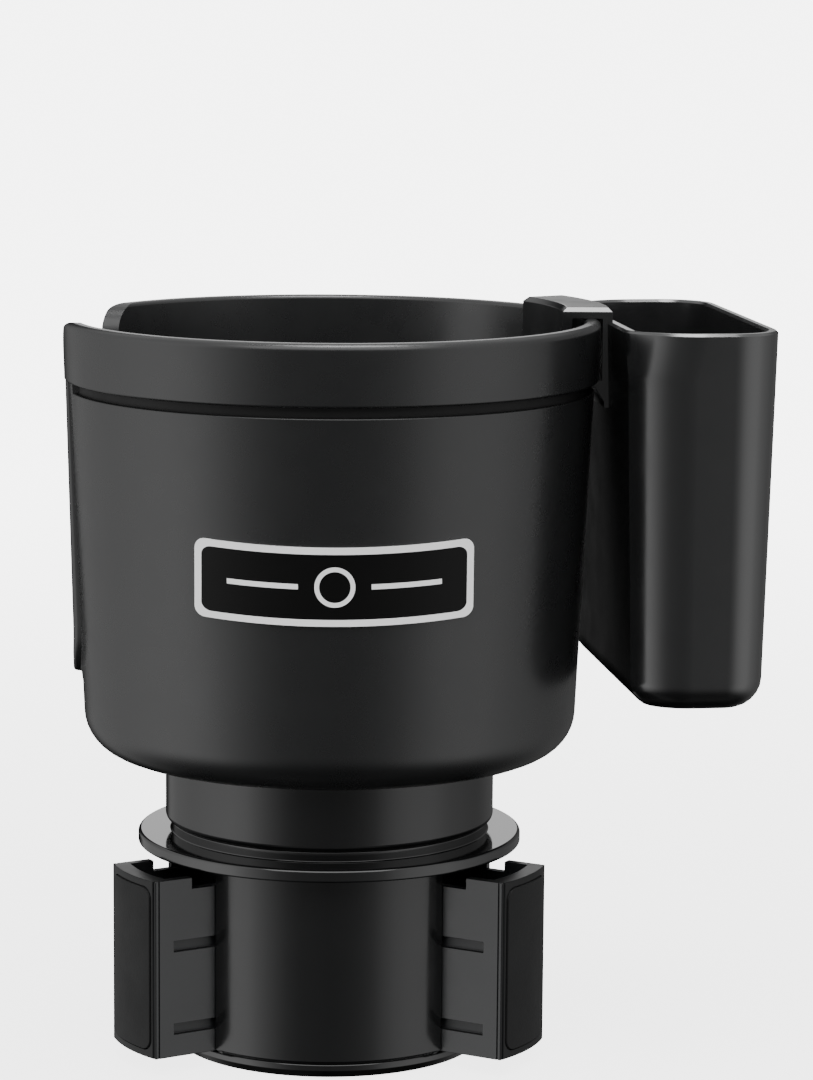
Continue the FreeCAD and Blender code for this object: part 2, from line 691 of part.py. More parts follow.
def pivot_parts():
    """The thrust ring, washer and screw that hold the turning stack on the post."""
    ring_piece("thrust_ring", "post_radius + turning_gap", "post_radius + thrust_width",
               NECK_FLOOR_TOP, f"{NECK_FLOOR_TOP} + thrust_thickness")
    ring_piece("pivot_washer", "pivot_screw_radius + slide_gap", "post_radius + washer_width",
               POST_TOP, f"{POST_TOP} + washer_thickness")
    head_low = f"{POST_TOP} + washer_thickness"
    made = doc.addObject("Part::Feature", "pivot_screw_shape")
    made.Shape = socket_screw("pivot_screw_radius", "pivot_head_radius", head_low,
                              f"{head_low} + pivot_head_height",
                              f"{POST_TOP} - pivot_screw_length + slide_gap", 0.0, True)
    piece(made, "pivot_screw")


# Cup: a drafted wall with a band at its rim, and a bordered slot for a mug's handle
def slot_tool(name, margin, flare):
    """The slot's outline grown by a margin, padded outwards from the axis."""
    body = new_body(name)
    half = f"(slot_width / 2 + {margin})"
    floor = f"{SLOT_FLOOR} - {margin}"
    rounding = f"slot_rounding + {margin}"
    top = f"({RIM_TOP} + rim_rounding)" if flare else BAND_MIDDLE
    corners = [(f"-{half}", top), (f"-{half}", floor, rounding), (half, floor, rounding), (half, top)]
    if flare:
        rim = RIM_TOP
        wide = f"({half} + slot_flare)"
        corners = [(f"-{wide}", top), (f"-{wide}", rim), (f"-{half}", rim, "slot_flare * 0.99"),
                   (f"-{half}", floor, rounding), (half, floor, rounding),
                   (half, rim, "slot_flare * 0.99"), (wide, rim), (wide, top)]
    sketch = outline(new_sketch(body, "YZ_Plane", f"{name}_outline"), corners)
    feature(body, "Pad", f"{name}_depth", sketch, "rim_radius + slot_rounding")
    body.Placement = turned("slot_azimuth")
    return body


def cup_body():
    shell = new_body("cup_shell")
    revolve(shell, "cup_wall", [
        ("cup_hole_radius", NECK_TOP),
        (FOOT_RADIUS, NECK_TOP, "foot_rounding"),
        (WALL_HEAD_RADIUS, WALL_HEAD),
        (f"{WALL_HEAD_RADIUS} - groove_line_depth", WALL_HEAD),
        (f"{WALL_HEAD_RADIUS} - groove_line_depth", BAND_BOTTOM),
        (BAND_FOOT_RADIUS, BAND_BOTTOM, "rim_rounding * 0.4"),
        ("rim_radius", RIM_TOP, "rim_rounding"),
        (RIM_INNER, RIM_TOP, "rim_rounding * 0.6"),
        (FLOOR_INNER, CUP_FLOOR_TOP, "foot_rounding - wall"),
        ("cup_hole_radius", CUP_FLOOR_TOP),
    ])
    low = f"({SLOT_FLOOR} - 2 * border_width)"
    ring = new_body("border_ring")
    revolve(ring, "border_wall", [
        (f"{wall_radius(low)} - wall / 2", low),
        (f"{wall_radius(low)} + border_height", low),
        (f"{BAND_FOOT_RADIUS} - border_step", BAND_MIDDLE),
        (f"{BAND_FOOT_RADIUS} - wall / 2", BAND_MIDDLE),
    ])
    border = boolean("Common", "slot_border", ring, slot_tool("border_block", "border_width", False))
    bordered = boolean("Fuse", "cup_bordered", shell, border)
    slotted = boolean("Cut", "cup_slotted", bordered, slot_tool("slot_block", "0", True))
    holes = screw_holes("cup_screw_holes", NECK_TOP, CUP_FLOOR_TOP, CUP_SCREWS, sink="up")
    return piece(boolean("Cut", "cup_body_cut", slotted, holes), "cup_body")


# Mat: a rubber disc with moulded rings on the cup's floor
def cup_mat():
    body = new_body("mat_disc")
    top = f"({CUP_FLOOR_TOP} + mat_thickness)"
    pad(body, "mat_blank", CUP_FLOOR_TOP, top, lambda s: circle(s, "0", "0", MAT_RADIUS))
    for ring in range(1, round(number("mat_ring_count")) + 1):
        middle = f"({MAT_RADIUS} * {ring} / (mat_ring_count + 1))"
        pocket(body, f"mat_ring_{ring}", f"{top} - mat_ring_depth", top, lambda s: circle(circle(
            s, "0", "0", f"{middle} + mat_ring_width / 2"), "0", "0", f"{middle} - mat_ring_width / 2"))
    return piece(body, "cup_mat")


# Label: a thin plate that follows the cup's wall, with its own rounded outline
def label_plate():
    ring = new_body("label_ring")
    low = f"({LABEL_MIDDLE} - label_height)"
    high = f"({LABEL_MIDDLE} + label_height)"
    revolve(ring, "label_wall", [
        (wall_radius(low), low),
        (f"{wall_radius(low)} + label_thickness", low),
        (f"{wall_radius(high)} + label_thickness", high),
        (wall_radius(high), high),
    ])
    block = new_body("label_block")
    sketch = outline(new_sketch(block, "YZ_Plane", "label_outline"), rectangle(
        "-label_width / 2", "label_width / 2", f"{LABEL_MIDDLE} - label_height / 2",
        f"{LABEL_MIDDLE} + label_height / 2", "label_rounding"))
    feature(block, "Pad", "label_depth", sketch, "rim_radius + label_thickness")
    made = boolean("Common", "label_plate_common", ring, block)
    made.Placement = turned("label_azimuth")
    return piece(made, "label_plate")


# Phone pocket: a drafted, hollow shell with a hook over the rim and a catch under its band
def pocket_section(inset, height, near_rounding="pocket_rounding"):
    """The pocket's plan at a height, as the draft leaves it, inset for the hollow."""
    draft = f"({inset} + pocket_draft * ({POCKET_TOP} - {height}) / pocket_height)"
    plan = rectangle(f"{POCKET_NEAR} + {draft}", f"{POCKET_NEAR} + pocket_width - {draft}",
                     f"pocket_shift + {draft} - pocket_length / 2",
                     f"pocket_shift + pocket_length / 2 - {draft}")
    roundings = (near_rounding, "pocket_rounding", "pocket_rounding", near_rounding)
    return [spot + (f"{rounding} - {draft}",) for spot, rounding in zip(plan, roundings)]


def loft(body, name, kind, sections):
    """A ruled loft through outlines, each (height, corners)."""
    sketches = [outline(new_sketch(body, "XY_Plane", f"{name}_{index}", height), corners)
                for index, (height, corners) in enumerate(sections)]
    made = feature(body, kind, name, sketches[0], Ruled=True)
    made.Sections = sketches[1:]
    return made


def edges_at_height(shape, height):
    """Names of the edges that lie level at a height."""
    return [f"Edge{index}" for index, edge in enumerate(shape.Edges, start=1)
            if abs(edge.BoundBox.ZMin - height) < NEARLY and abs(edge.BoundBox.ZMax - height) < NEARLY]


def eased(body, kind, name, size, base, height):
    """A Fillet or Chamfer along all of a feature's edges that lie level at a height."""
    doc.recompute()
    made = body.newObject(f"PartDesign::{kind}", name)
    made.Base = (base, edges_at_height(base.Shape, number(height)))
    made.setExpression("Radius" if kind == "Fillet" else "Size", bound(size))
    body.Tip = made
    return made


def rim_room(leg_outer):
    """The room that the hook leaves for the cup: its rim and band, and the groove that the catch
    reaches into."""
    room = new_body("rim_room")
    below = f"({POCKET_BOTTOM} - pocket_floor)"
    tip = f"({WALL_HEAD_RADIUS} - groove_line_depth + hook_gap)"
    ledge = f"({WALL_HEAD} + hook_gap)"
    band_low = f"({BAND_BOTTOM} - hook_gap)"
    revolve(room, "rim_space", [
        (leg_outer, below),
        (f"{POCKET_NEAR} - slot_gap", below),
        (f"{POCKET_NEAR} - slot_gap", f"{BAND_BOTTOM} - catch_height"),
        (f"{WALL_HEAD_RADIUS} + hook_gap", ledge),
        (tip, ledge),
        (tip, band_low),
        ("rim_radius + hook_gap", band_low),
        ("rim_radius + hook_gap", RIM_TOP),
        (leg_outer, RIM_TOP),
    ])
    return room


def phone_pocket():
    body = new_body("pocket_shell")
    ear_low = f"({POCKET_TOP} - ear_height)"
    shell = loft(body, "pocket_walls", "AdditiveLoft", [
        (POCKET_TOP, pocket_section("0", POCKET_TOP, "ear_rounding")),
        (ear_low, pocket_section("0", ear_low)), (POCKET_BOTTOM, pocket_section("0", POCKET_BOTTOM))])
    eased(body, "Fillet", "pocket_foot", "pocket_foot_rounding", shell, POCKET_BOTTOM)
    floor = f"({POCKET_BOTTOM} + pocket_floor)"
    hollow = loft(body, "pocket_hollow", "SubtractiveLoft", [
        (height, pocket_section("pocket_wall", height)) for height in (POCKET_TOP, floor)])
    eased(body, "Fillet", "pocket_lip", "pocket_lip_rounding", hollow, POCKET_TOP)
    hook = new_body("hook_block")
    leg_low = f"({RIM_TOP} - hook_leg)"
    leg_outer = f"({inner_radius(leg_low)} - hook_room)"
    roof_top = f"({RIM_TOP} + hook_roof)"
    inner = f"({leg_outer} - hook_leg_wall)"
    root = f"({POCKET_NEAR} + pocket_wall * 2 / 3)"
    back, front = [[(None, f"{radius} * sin({turn})") for radius in (root, inner)]
                   for turn in ("(hook_start + hook_sweep)", "hook_start")]
    block = pad(hook, "hook_body", leg_low, roof_top, lambda s: outline(
        s, back + front[::-1], {1: ("0", "0", inner), 3: ("0", "0", root)}))
    eased(hook, "Chamfer", "hook_bevel", "hook_edge", block, roof_top)
    joined = boolean("Fuse", "pocket_joined", body, hook)
    made = boolean("Cut", "phone_pocket_cut", joined, rim_room(leg_outer))
    made.Placement = turned("pocket_azimuth")
    return piece(made, "phone_pocket")


base_cover()
base_housing()
screw_group("cover_screws", COVER_SCREWS, "turning_gap", f"{WEB_TOP} / 2 - web_thickness - slide_gap", False)
for arm_side, arm_azimuth in ARM_AZIMUTHS.items():
    arm(arm_side, arm_azimuth)
scroll_disc()
turn_flange()
neck()
screw_group("scroll_screws", SCROLL_SCREWS, SCROLL_BOTTOM,
            f"{NECK_FLOOR_TOP} - thrust_thickness - slide_gap", False)
pivot_parts()
cup_body()
screw_group("cup_screws", CUP_SCREWS, f"{CUP_FLOOR_TOP} - screw_head_height",
            f"{NECK_FLOOR_TOP} + screw_radius + slide_gap", True)
cup_mat()
label_plate()
phone_pocket()
doc.recompute()

for made in doc.Objects:
    if {"Invalid", "Error"} & set(made.State):
        raise RuntimeError(f"{made.Name} failed: {made.State}")
for label, made in PIECES.items():
    if made.Shape.isNull() or not made.Shape.isValid() or not made.Shape.Solids:
        raise RuntimeError(f"{label} has no valid solid")

os.makedirs("parts", exist_ok=True)
for label, made in PIECES.items():
    made.Shape.exportStep(f"parts/{label}.step")
    box = made.Shape.BoundBox
    print(f"{label:14s} solids {len(made.Shape.Solids)} volume {made.Shape.Volume:9.1f} mm3 "
          f"z {box.ZMin:.2f} to {box.ZMax:.2f}")
print(len(PIECES), "pieces")
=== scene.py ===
# %% [markdown]
# # Dressing a cup holder expander
# The expander is a wide cup on a turning neck. Below it is a narrow base whose three arms spread
# to grip a car's own cup holder, and a phone pocket hooks over the cup's rim. The solid parts come
# in as a fixed frame, and this lesson gives each of them its finish and its finest forms.

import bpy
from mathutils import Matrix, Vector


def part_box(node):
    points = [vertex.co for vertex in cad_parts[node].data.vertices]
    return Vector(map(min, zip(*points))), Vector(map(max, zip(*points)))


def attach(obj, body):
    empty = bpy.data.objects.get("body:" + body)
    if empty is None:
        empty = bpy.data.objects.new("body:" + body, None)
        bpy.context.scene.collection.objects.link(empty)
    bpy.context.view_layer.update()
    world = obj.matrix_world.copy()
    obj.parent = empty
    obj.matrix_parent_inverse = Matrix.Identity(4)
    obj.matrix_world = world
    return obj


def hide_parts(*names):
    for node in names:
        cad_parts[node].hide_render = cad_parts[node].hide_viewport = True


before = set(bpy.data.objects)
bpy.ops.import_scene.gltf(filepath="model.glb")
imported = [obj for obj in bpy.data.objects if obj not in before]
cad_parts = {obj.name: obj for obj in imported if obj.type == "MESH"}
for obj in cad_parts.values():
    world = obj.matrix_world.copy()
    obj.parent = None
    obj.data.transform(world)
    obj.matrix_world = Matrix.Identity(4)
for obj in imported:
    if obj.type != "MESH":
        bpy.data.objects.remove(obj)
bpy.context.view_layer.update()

# %% [markdown]
# Blender works in metres, but a moulding is easier to think of in millimetres. One factor keeps
# the two apart. A node's box says where the solid part is, so new pieces are placed from the part
# itself and not from copied numbers.

# %% Units and the frame's own sizes
import math

import bmesh
import bpy
from mathutils import Matrix, Vector

MM = 0.001


def box_mm(node):
    """A node's lowest and highest corner in millimetres."""
    return tuple(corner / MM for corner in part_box(node))


cup_low, cup_high = box_mm("cup_body")
cup_foot = cup_low.z
rim_top = cup_high.z
print(f"cup from z {cup_foot:.1f} to {rim_top:.1f} mm")

# %% [markdown]
# Every finish here is a small node graph around one Principled shader. To keep the graphs short,
# one helper feeds a node's sockets, each with a plain value or another node's output, and a second
# adds a node and feeds it. Others do what comes back often: a blend and a step of arithmetic.
# Whatever is the same all over the surface is set on the shader's own socket.

# %% Helpers for node graphs


def feed(tree, node, feeds):
    """Sets or links a node's sockets, each by name or by number."""
    for name, value in feeds.items():
        socket = node.inputs[name]
        if isinstance(value, bpy.types.NodeSocket):
            tree.links.new(value, socket)
        else:
            socket.default_value = value
    return node


def add(tree, kind, feeds=None, **settings):
    """A node with its settings made and its sockets fed."""
    node = tree.nodes.new(kind)
    for name, value in settings.items():
        setattr(node, name, value)
    return feed(tree, node, feeds or {})


def mixed(tree, share, first, second, kind="FLOAT"):
    """A number or a colour between two. The Mix node has sockets of its own for each kind."""
    one, two, result = (6, 7, 2) if kind == "RGBA" else (2, 3, 0)
    return add(tree, "ShaderNodeMix", {"Factor": share, one: first, two: second},
               data_type=kind).outputs[result]


def calculated(tree, operation, first, second=0.0):
    """One step of arithmetic."""
    return add(tree, "ShaderNodeMath", {0: first, 1: second}, operation=operation).outputs[0]


def grey(level, tint=0.0):
    """A grey that leans a little towards blue as the tint grows."""
    return (level * (1 - tint), level, level * (1 + tint), 1.0)


print("a middle grey with a little blue:", grey(0.5, 0.03))

# %% [markdown]
# Moulded plastic is never one flat colour. The tool's surface leaves a fine grain, the melt leaves
# slow drifts of tone and gloss, and handling leaves faint smears that only the gloss shows. So the
# recipe has three noises at three scales: a drift in colour, a smear in roughness and a grain in
# the bump. It reads Object coordinates, so the grain keeps its real size on every piece.

# %% The recipe for moulded plastic
DRIFT = 0.1
DRIFT_SCALE = 45.0
SMEAR_SCALE = 120.0
GRAIN_HEIGHT = 0.2
COAT_ROUGHNESS = 0.06


def new_material(name):
    """A material, its node tree and its Principled shader."""
    material = bpy.data.materials.new(name)
    material.use_nodes = True
    return material, material.node_tree, material.node_tree.nodes["Principled BSDF"]


def moulded(name, level, tint, roughness, grain_mm, grain_depth, smear=0.03, coat=0.0, specular=0.5):
    """A moulded plastic: its grey level, its gloss and the size and depth of its grain."""
    material, tree, shader = new_material(name)
    place = add(tree, "ShaderNodeTexCoord").outputs["Object"]

    drift = add(tree, "ShaderNodeTexNoise", {"Vector": place, "Scale": DRIFT_SCALE, "Detail": 2.0})
    colour = mixed(tree, drift.outputs["Fac"], grey(level * (1 - DRIFT), tint),
                   grey(level * (1 + DRIFT), tint), "RGBA")

    smears = add(tree, "ShaderNodeTexNoise", {"Vector": place, "Scale": SMEAR_SCALE, "Detail": 4.0,
                                              "Roughness": 0.6})
    gloss = add(tree, "ShaderNodeMapRange", {"Value": smears.outputs["Fac"], "From Min": 0.3,
                                             "From Max": 0.7, "To Min": roughness - smear,
                                             "To Max": roughness + smear})

    grain = add(tree, "ShaderNodeTexNoise", {"Vector": place, "Scale": 1.0 / (grain_mm * MM),
                                             "Detail": 2.0})
    bump = add(tree, "ShaderNodeBump", {"Height": grain.outputs["Fac"], "Strength": grain_depth,
                                        "Distance": grain_mm * MM * GRAIN_HEIGHT})
    feed(tree, shader, {"Base Color": colour, "Roughness": gloss.outputs["Result"],
                        "Normal": bump.outputs["Normal"], "Specular IOR Level": specular,
                        "Coat Weight": coat, "Coat Roughness": COAT_ROUGHNESS})
    return material


cup_plastic = moulded("cup_charcoal", 0.009, 0.03, 0.28, 0.5, 0.015)
housing_plastic = moulded("housing_satin_black", 0.006, 0.03, 0.17, 0.5, 0.02)
pocket_plastic = moulded("pocket_satin_black", 0.008, 0.03, 0.20, 0.45, 0.02, specular=0.9)
gloss_plastic = moulded("ring_gloss_black", 0.005, 0.03, 0.09, 1.5, 0.01, smear=0.02, coat=0.3)
arm_plastic = moulded("arm_dark_grey", 0.012, 0.06, 0.22, 0.5, 0.03)
face_plastic = moulded("face_matt_black", 0.008, 0.03, 0.34, 0.4, 0.08, specular=0.18)
channel_plastic = moulded("channel_dark_grey", 0.012, 0.06, 0.30, 0.5, 0.05, specular=0.36)
scroll_plastic = moulded("scroll_grey", 0.16, 0.02, 0.38, 0.4, 0.08)
# Painted shade: the cup's groove gets a darker, duller finish than the wall, standing in for the shade that
# falls in it.
painted_groove_shade = moulded("groove_matt_black", 0.006, 0.0, 0.60, 0.3, 0.15, specular=0.25)
print("plastics:", sorted(m.name for m in bpy.data.materials))

# %% [markdown]
# Rubber is matt, with a slightly dusty bloom, so its roughness is high and a little sheen lifts
# it at grazing angles. Turned steel is the opposite: a bright metal with fine rings from the
# lathe, which a stretched noise around the axis imitates.

# %% Rubber and steel


def rubber(name):
    """A matt rubber with a pebbled grain and a dusty bloom."""
    material = moulded(name, 0.008, 0.02, 0.55, 0.6, 0.25, smear=0.06, specular=0.14)
    shader = material.node_tree.nodes["Principled BSDF"]
    shader.inputs["Sheen Weight"].default_value = 0.03
    shader.inputs["Sheen Roughness"].default_value = 0.5
    return material


def turned_steel(name):
    """A steel turned on a lathe, with fine rings and a few tarnished spots."""
    material, tree, shader = new_material(name)
    place = add(tree, "ShaderNodeTexCoord").outputs["Object"]
    stretched = add(tree, "ShaderNodeMapping", {"Vector": place, "Scale": (300.0, 300.0, 9000.0)})
    rings = add(tree, "ShaderNodeTexNoise", {"Vector": stretched.outputs["Vector"], "Scale": 1.0})
    gloss = add(tree, "ShaderNodeMapRange", {"Value": rings.outputs["Fac"], "To Min": 0.18,
                                             "To Max": 0.42})
    spots = add(tree, "ShaderNodeTexNoise", {"Vector": place, "Scale": 500.0, "Detail": 3.0})
    colour = mixed(tree, spots.outputs["Fac"], grey(0.50), grey(0.66), "RGBA")
    bump = add(tree, "ShaderNodeBump", {"Height": rings.outputs["Fac"], "Strength": 0.15,
                                        "Distance": 0.05 * MM})
    feed(tree, shader, {"Metallic": 1.0, "Base Color": colour, "Roughness": gloss.outputs["Result"],
                        "Normal": bump.outputs["Normal"]})
    return material


pad_rubber = rubber("pad_rubber")
mat_rubber = rubber("mat_rubber")
steel = turned_steel("turned_steel")
print("steel and rubber:", steel.name, pad_rubber.name, mat_rubber.name)

# %% [markdown]
# A part that is turned or moulded round is a profile swept about an axis. This rule is made once,
# as a Geometry Nodes tree: a grid gets one row for each angle and one column for each point of
# the profile, and every grid point is moved to its place on the circle. Merging by distance closes
# the seam, and the finish is set last. The tree reads the profile from the piece's own points.

# %% A lathe in Geometry Nodes
MERGE_WITHIN = 0.00001


def new_tree(name, **inputs):
    """A Geometry Nodes tree with a geometry input, the named inputs and one output."""
    tree = bpy.data.node_groups.new(name, "GeometryNodeTree")
    tree.interface.new_socket("Piece", in_out="INPUT", socket_type="NodeSocketGeometry")
    for socket, kind in inputs.items():
        tree.interface.new_socket(socket.replace("_", " "), in_out="INPUT", socket_type=f"NodeSocket{kind}")
    tree.interface.new_socket("Made", in_out="OUTPUT", socket_type="NodeSocketGeometry")
    given = add(tree, "NodeGroupInput")
    return tree, {socket.name.replace(" ", "_"): socket for socket in given.outputs if socket.name}


def end_tree(tree, geometry, finish):
    """Makes instances real and sets the finish, as the last two steps of every tree."""
    real = add(tree, "GeometryNodeRealizeInstances", {"Geometry": geometry})
    done = add(tree, "GeometryNodeSetMaterial", {"Geometry": real.outputs[0], "Material": finish})
    add(tree, "NodeGroupOutput", {0: done.outputs[0]})
    return tree


def lathe_tree():
    """Sweeps the piece's own points, given as (radius, 0, height), about the Z axis."""
    tree, given = new_tree("lathe", Segments="Int", Finish="Material")
    size = add(tree, "GeometryNodeAttributeDomainSize", {0: given["Piece"]})
    points = size.outputs["Point Count"]
    rows = calculated(tree, "ADD", given["Segments"], 1.0)
    grid = add(tree, "GeometryNodeMeshGrid", {"Vertices X": rows, "Vertices Y": points})
    index = add(tree, "GeometryNodeInputIndex").outputs[0]
    column = calculated(tree, "MODULO", index, points)
    row = calculated(tree, "FLOOR", calculated(tree, "DIVIDE", index, points))
    share = calculated(tree, "DIVIDE", row, given["Segments"])
    angle = calculated(tree, "MULTIPLY", share, 2 * math.pi)
    place = add(tree, "GeometryNodeInputPosition").outputs[0]
    read = add(tree, "GeometryNodeSampleIndex", {"Geometry": given["Piece"], "Index": column,
                                                 "Value": place}, data_type="FLOAT_VECTOR")
    turned = add(tree, "ShaderNodeVectorRotate", {"Vector": read.outputs["Value"], "Angle": angle},
                 rotation_type="Z_AXIS")
    moved = add(tree, "GeometryNodeSetPosition", {"Geometry": grid.outputs["Mesh"],
                                                  "Position": turned.outputs[0]})
    merged = add(tree, "GeometryNodeMergeByDistance", {"Geometry": moved.outputs[0],
                                                       "Distance": MERGE_WITHIN})
    return end_tree(tree, merged.outputs[0], given["Finish"])


LATHE = lathe_tree()
print("lathe tree with", len(LATHE.nodes), "nodes")

# %% [markdown]
# A modifier's inputs are set by each socket's identifier, before the piece is first evaluated.
# The result is then taken as a plain mesh and the modifier is dropped, so that what rides on a
# body is the finished mesh. Its normals are made to point outwards while it is still whole, and
# the edges that should stay crisp are the ones that turn by more than a set angle. Weighting the
# normals by face area keeps the broad faces flat next to their narrow roundings.

# %% From a tree to a finished mesh
CRISP_ANGLE = math.radians(32)
DOUBLES_WITHIN = 0.000001


def link_object(name, mesh):
    """A new object for the mesh, in the scene."""
    made = bpy.data.objects.new(name, mesh)
    bpy.context.scene.collection.objects.link(made)
    return made


def frozen(piece):
    """The piece with its modifiers' result as its own mesh."""
    bpy.context.view_layer.update()
    shape = bpy.data.meshes.new_from_object(piece.evaluated_get(bpy.context.evaluated_depsgraph_get()))
    piece.modifiers.clear()
    piece.data = shape
    return piece


def grow(piece, tree, **inputs):
    """Runs a Geometry Nodes tree on the piece, with its inputs given by name."""
    modifier = piece.modifiers.new(tree.name, "NODES")
    modifier.node_group = tree
    named = {item.name: item.identifier for item in tree.interface.items_tree if item.in_out == "INPUT"}
    for name, value in inputs.items():
        modifier[named[name.replace("_", " ")]] = value
    frozen(piece)
    piece.data.materials.clear()
    piece.data.materials.append(inputs["Finish"])
    piece.data.polygons.foreach_set("material_index", [0] * len(piece.data.polygons))
    return piece


def crisp(piece):
    """Smooth shading, apart from the edges that turn by more than the crisp angle."""
    piece.data.shade_smooth()
    piece.data.set_sharp_from_angle(angle=CRISP_ANGLE)
    weighted = piece.modifiers.new("weighted", "WEIGHTED_NORMAL")
    weighted.keep_sharp = True
    return frozen(piece)


def outward(piece):
    """Merges doubles and turns every face of a closed shell outwards."""
    work = bmesh.new()
    work.from_mesh(piece.data)
    bmesh.ops.remove_doubles(work, verts=work.verts, dist=DOUBLES_WITHIN)
    bmesh.ops.recalc_face_normals(work, faces=work.faces)
    work.to_mesh(piece.data)
    work.free()
    return piece


print(f"edges stay crisp above {math.degrees(CRISP_ANGLE):.0f} degrees")

# %% [markdown]
# A profile is written as the few corners that a draughtsman would give, each with the radius of
# its rounding. One function turns the corners into points, with enough of them on every rounding
# for a soft highlight. The same function serves flat outlines later on.

# %% Corners with roundings
ARC_STEP = math.radians(9)


def rounded(corners, closed=True):
    """Points along an outline of (x, y) or (x, y, rounding) corners."""
    points = []
    count = len(corners)
    for i, corner in enumerate(corners):
        spot = Vector(corner[:2])
        radius = corner[2] if len(corner) > 2 else 0.0
        if not radius:
            points.append(spot)
            continue
        back = (Vector(corners[i - 1][:2]) - spot).normalized()
        ahead = (Vector(corners[(i + 1) % count][:2]) - spot).normalized()
        half = back.angle(ahead) / 2
        centre = spot + (back + ahead).normalized() * (radius / math.sin(half))
        start = spot + back * (radius / math.tan(half)) - centre
        turn = start.angle_signed(spot + ahead * (radius / math.tan(half)) - centre)
        steps = max(2, round(abs(turn) / ARC_STEP))
        for step in range(steps + 1):
            swing = Matrix.Rotation(-turn * step / steps, 2)
            points.append(centre + swing @ start)
    return points + [points[0]] if closed else points


def lathe(name, corners, finish, segments=192):
    """A turned piece from the corners of its profile, (radius, height, rounding) in millimetres."""
    profile = [(p.x * MM, 0.0, p.y * MM) for p in rounded(corners)]
    mesh = bpy.data.meshes.new(name)
    mesh.from_pydata(profile, [(i, i + 1) for i in range(len(profile) - 1)], [])
    piece = link_object(name, mesh)
    grow(piece, LATHE, Segments=segments, Finish=finish)
    return outward(piece)


def hand_over(piece, body, slot_name, *nodes):
    """Rides the finished piece on its body, names its mesh after it and takes over the nodes it stands for.
    Its slot_name is not used.
    """
    piece.data.name = piece.name
    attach(piece, body)
    if nodes:
        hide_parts(*nodes)
    print(f"{piece.name}: {len(piece.data.polygons)} faces on {body}")


square = rounded([(x, y, 1.0) for x, y in ((0, 0), (4, 0), (4, 4), (0, 4))])
print("a square with rounded corners takes", len(square), "points")

# %% [markdown]
# A form that isn't round is often a row of like sections: the plans of a pocket from its foot to
# its mouth, or the section of a border along its path. When every section has the same number of
# points, quads between neighbours make the skin, and it shades without a flaw. The ends are
# closed by a face each, or the row closes on itself.

# %% A skin over a row of sections


def as_object(name, work, finish):
    """What was worked on, as an object with its finish."""
    mesh = bpy.data.meshes.new(name)
    work.to_mesh(mesh)
    work.free()
    mesh.materials.append(finish)
    return link_object(name, mesh)


def skin(name, sections, finish, ring=False):
    """A closed mesh through sections, each a list of points in millimetres."""
    work = bmesh.new()
    rows = [[work.verts.new(Vector(point) * MM) for point in section] for section in sections]
    pairs = list(zip(rows, rows[1:])) + ([(rows[-1], rows[0])] if ring else [])
    count = len(rows[0])
    for here, there in pairs:
        for i in range(count):
            j = (i + 1) % count
            work.faces.new((here[i], here[j], there[j], there[i]))
    if not ring:
        work.faces.new(rows[0][::-1])
        work.faces.new(rows[-1])
    bmesh.ops.recalc_face_normals(work, faces=work.faces)
    return as_object(name, work, finish)


def joined(name, pieces):
    """Several pieces of one finish as one."""
    work = bmesh.new()
    for piece in pieces:
        work.from_mesh(piece.data)
    made = as_object(name, work, pieces[0].data.materials[0])
    for piece in pieces:
        bpy.data.objects.remove(piece)
    return made


# %% [markdown]
# A cut through a wall is made with a second solid and the Boolean modifier's exact solver, which
# keeps the wall closed. The cutter is an outline drawn on a plane and pushed through the wall, and
# it has the wall's own finish, so that the cut faces get it too.

# %% Cutting with a solid
SOLVER = "EXACT"


def prism(name, outline, azimuth, near, far, finish):
    """An upright outline of (across, height) points, pushed from near to far along an azimuth."""
    turn = Matrix.Rotation(math.radians(azimuth), 3, "Z")
    return skin(name, [[turn @ Vector((depth, p.x, p.y)) for p in outline] for depth in (near, far)], finish)


def combine(piece, tool, operation):
    """The piece after an exact boolean with the tool, which is then removed."""
    modifier = piece.modifiers.new(operation.lower(), "BOOLEAN")
    modifier.operation = operation
    modifier.solver = SOLVER
    modifier.object = tool
    frozen(piece)
    bpy.data.objects.remove(tool)
    return piece


print("cuts are made by the", SOLVER.lower(), "solver")

# %% [markdown]
# The cup is the widest piece: a drafted wall with a rounded foot, a groove darkened by
# painted shade on top of its real depth, and a band that stands a little proud around the rim. Its
# profile is the rule that it follows, so it comes off the lathe.

# %% The cup
RIM_RADIUS = 54.2
RIM_THICKNESS = 3.3
RIM_ROUNDING = 1.4
RIM_INNER_ROUNDING = 0.85
BAND_FOOT_RADIUS = 53.8
BAND_HEIGHT = 12.2
BAND_EDGE = 0.6
GROOVE_HEIGHT = 2.0
GROOVE_DEPTH = 1.1
GROOVE_EDGE = 0.35
WALL_HEAD_RADIUS = 52.9
FOOT_RADIUS = 49.6
FOOT_ROUNDING = 8.5
INNER_ROUNDING = 8.3
CUP_WALL = 2.7
CUP_FLOOR = 3.2
CUP_HOLE = 14.0
CLOSE_BY = 0.1
band_bottom = rim_top - BAND_HEIGHT
wall_head = band_bottom - GROOVE_HEIGHT
groove_radius = WALL_HEAD_RADIUS - GROOVE_DEPTH
cup = lathe("cup", [
    (CUP_HOLE, cup_foot),
    (FOOT_RADIUS, cup_foot, FOOT_ROUNDING),
    (WALL_HEAD_RADIUS, wall_head, GROOVE_EDGE),
    (groove_radius, wall_head),
    (groove_radius, band_bottom),
    (BAND_FOOT_RADIUS, band_bottom, BAND_EDGE),
    (RIM_RADIUS, rim_top, RIM_ROUNDING),
    (RIM_RADIUS - RIM_THICKNESS, rim_top, RIM_INNER_ROUNDING),
    (FOOT_RADIUS - CUP_WALL, cup_foot + CUP_FLOOR, INNER_ROUNDING),
    (CUP_HOLE, cup_foot + CUP_FLOOR),
], cup_plastic)
# Painted shade: the faces inside the groove take the darker, duller finish.
cup.data.materials.append(painted_groove_shade)
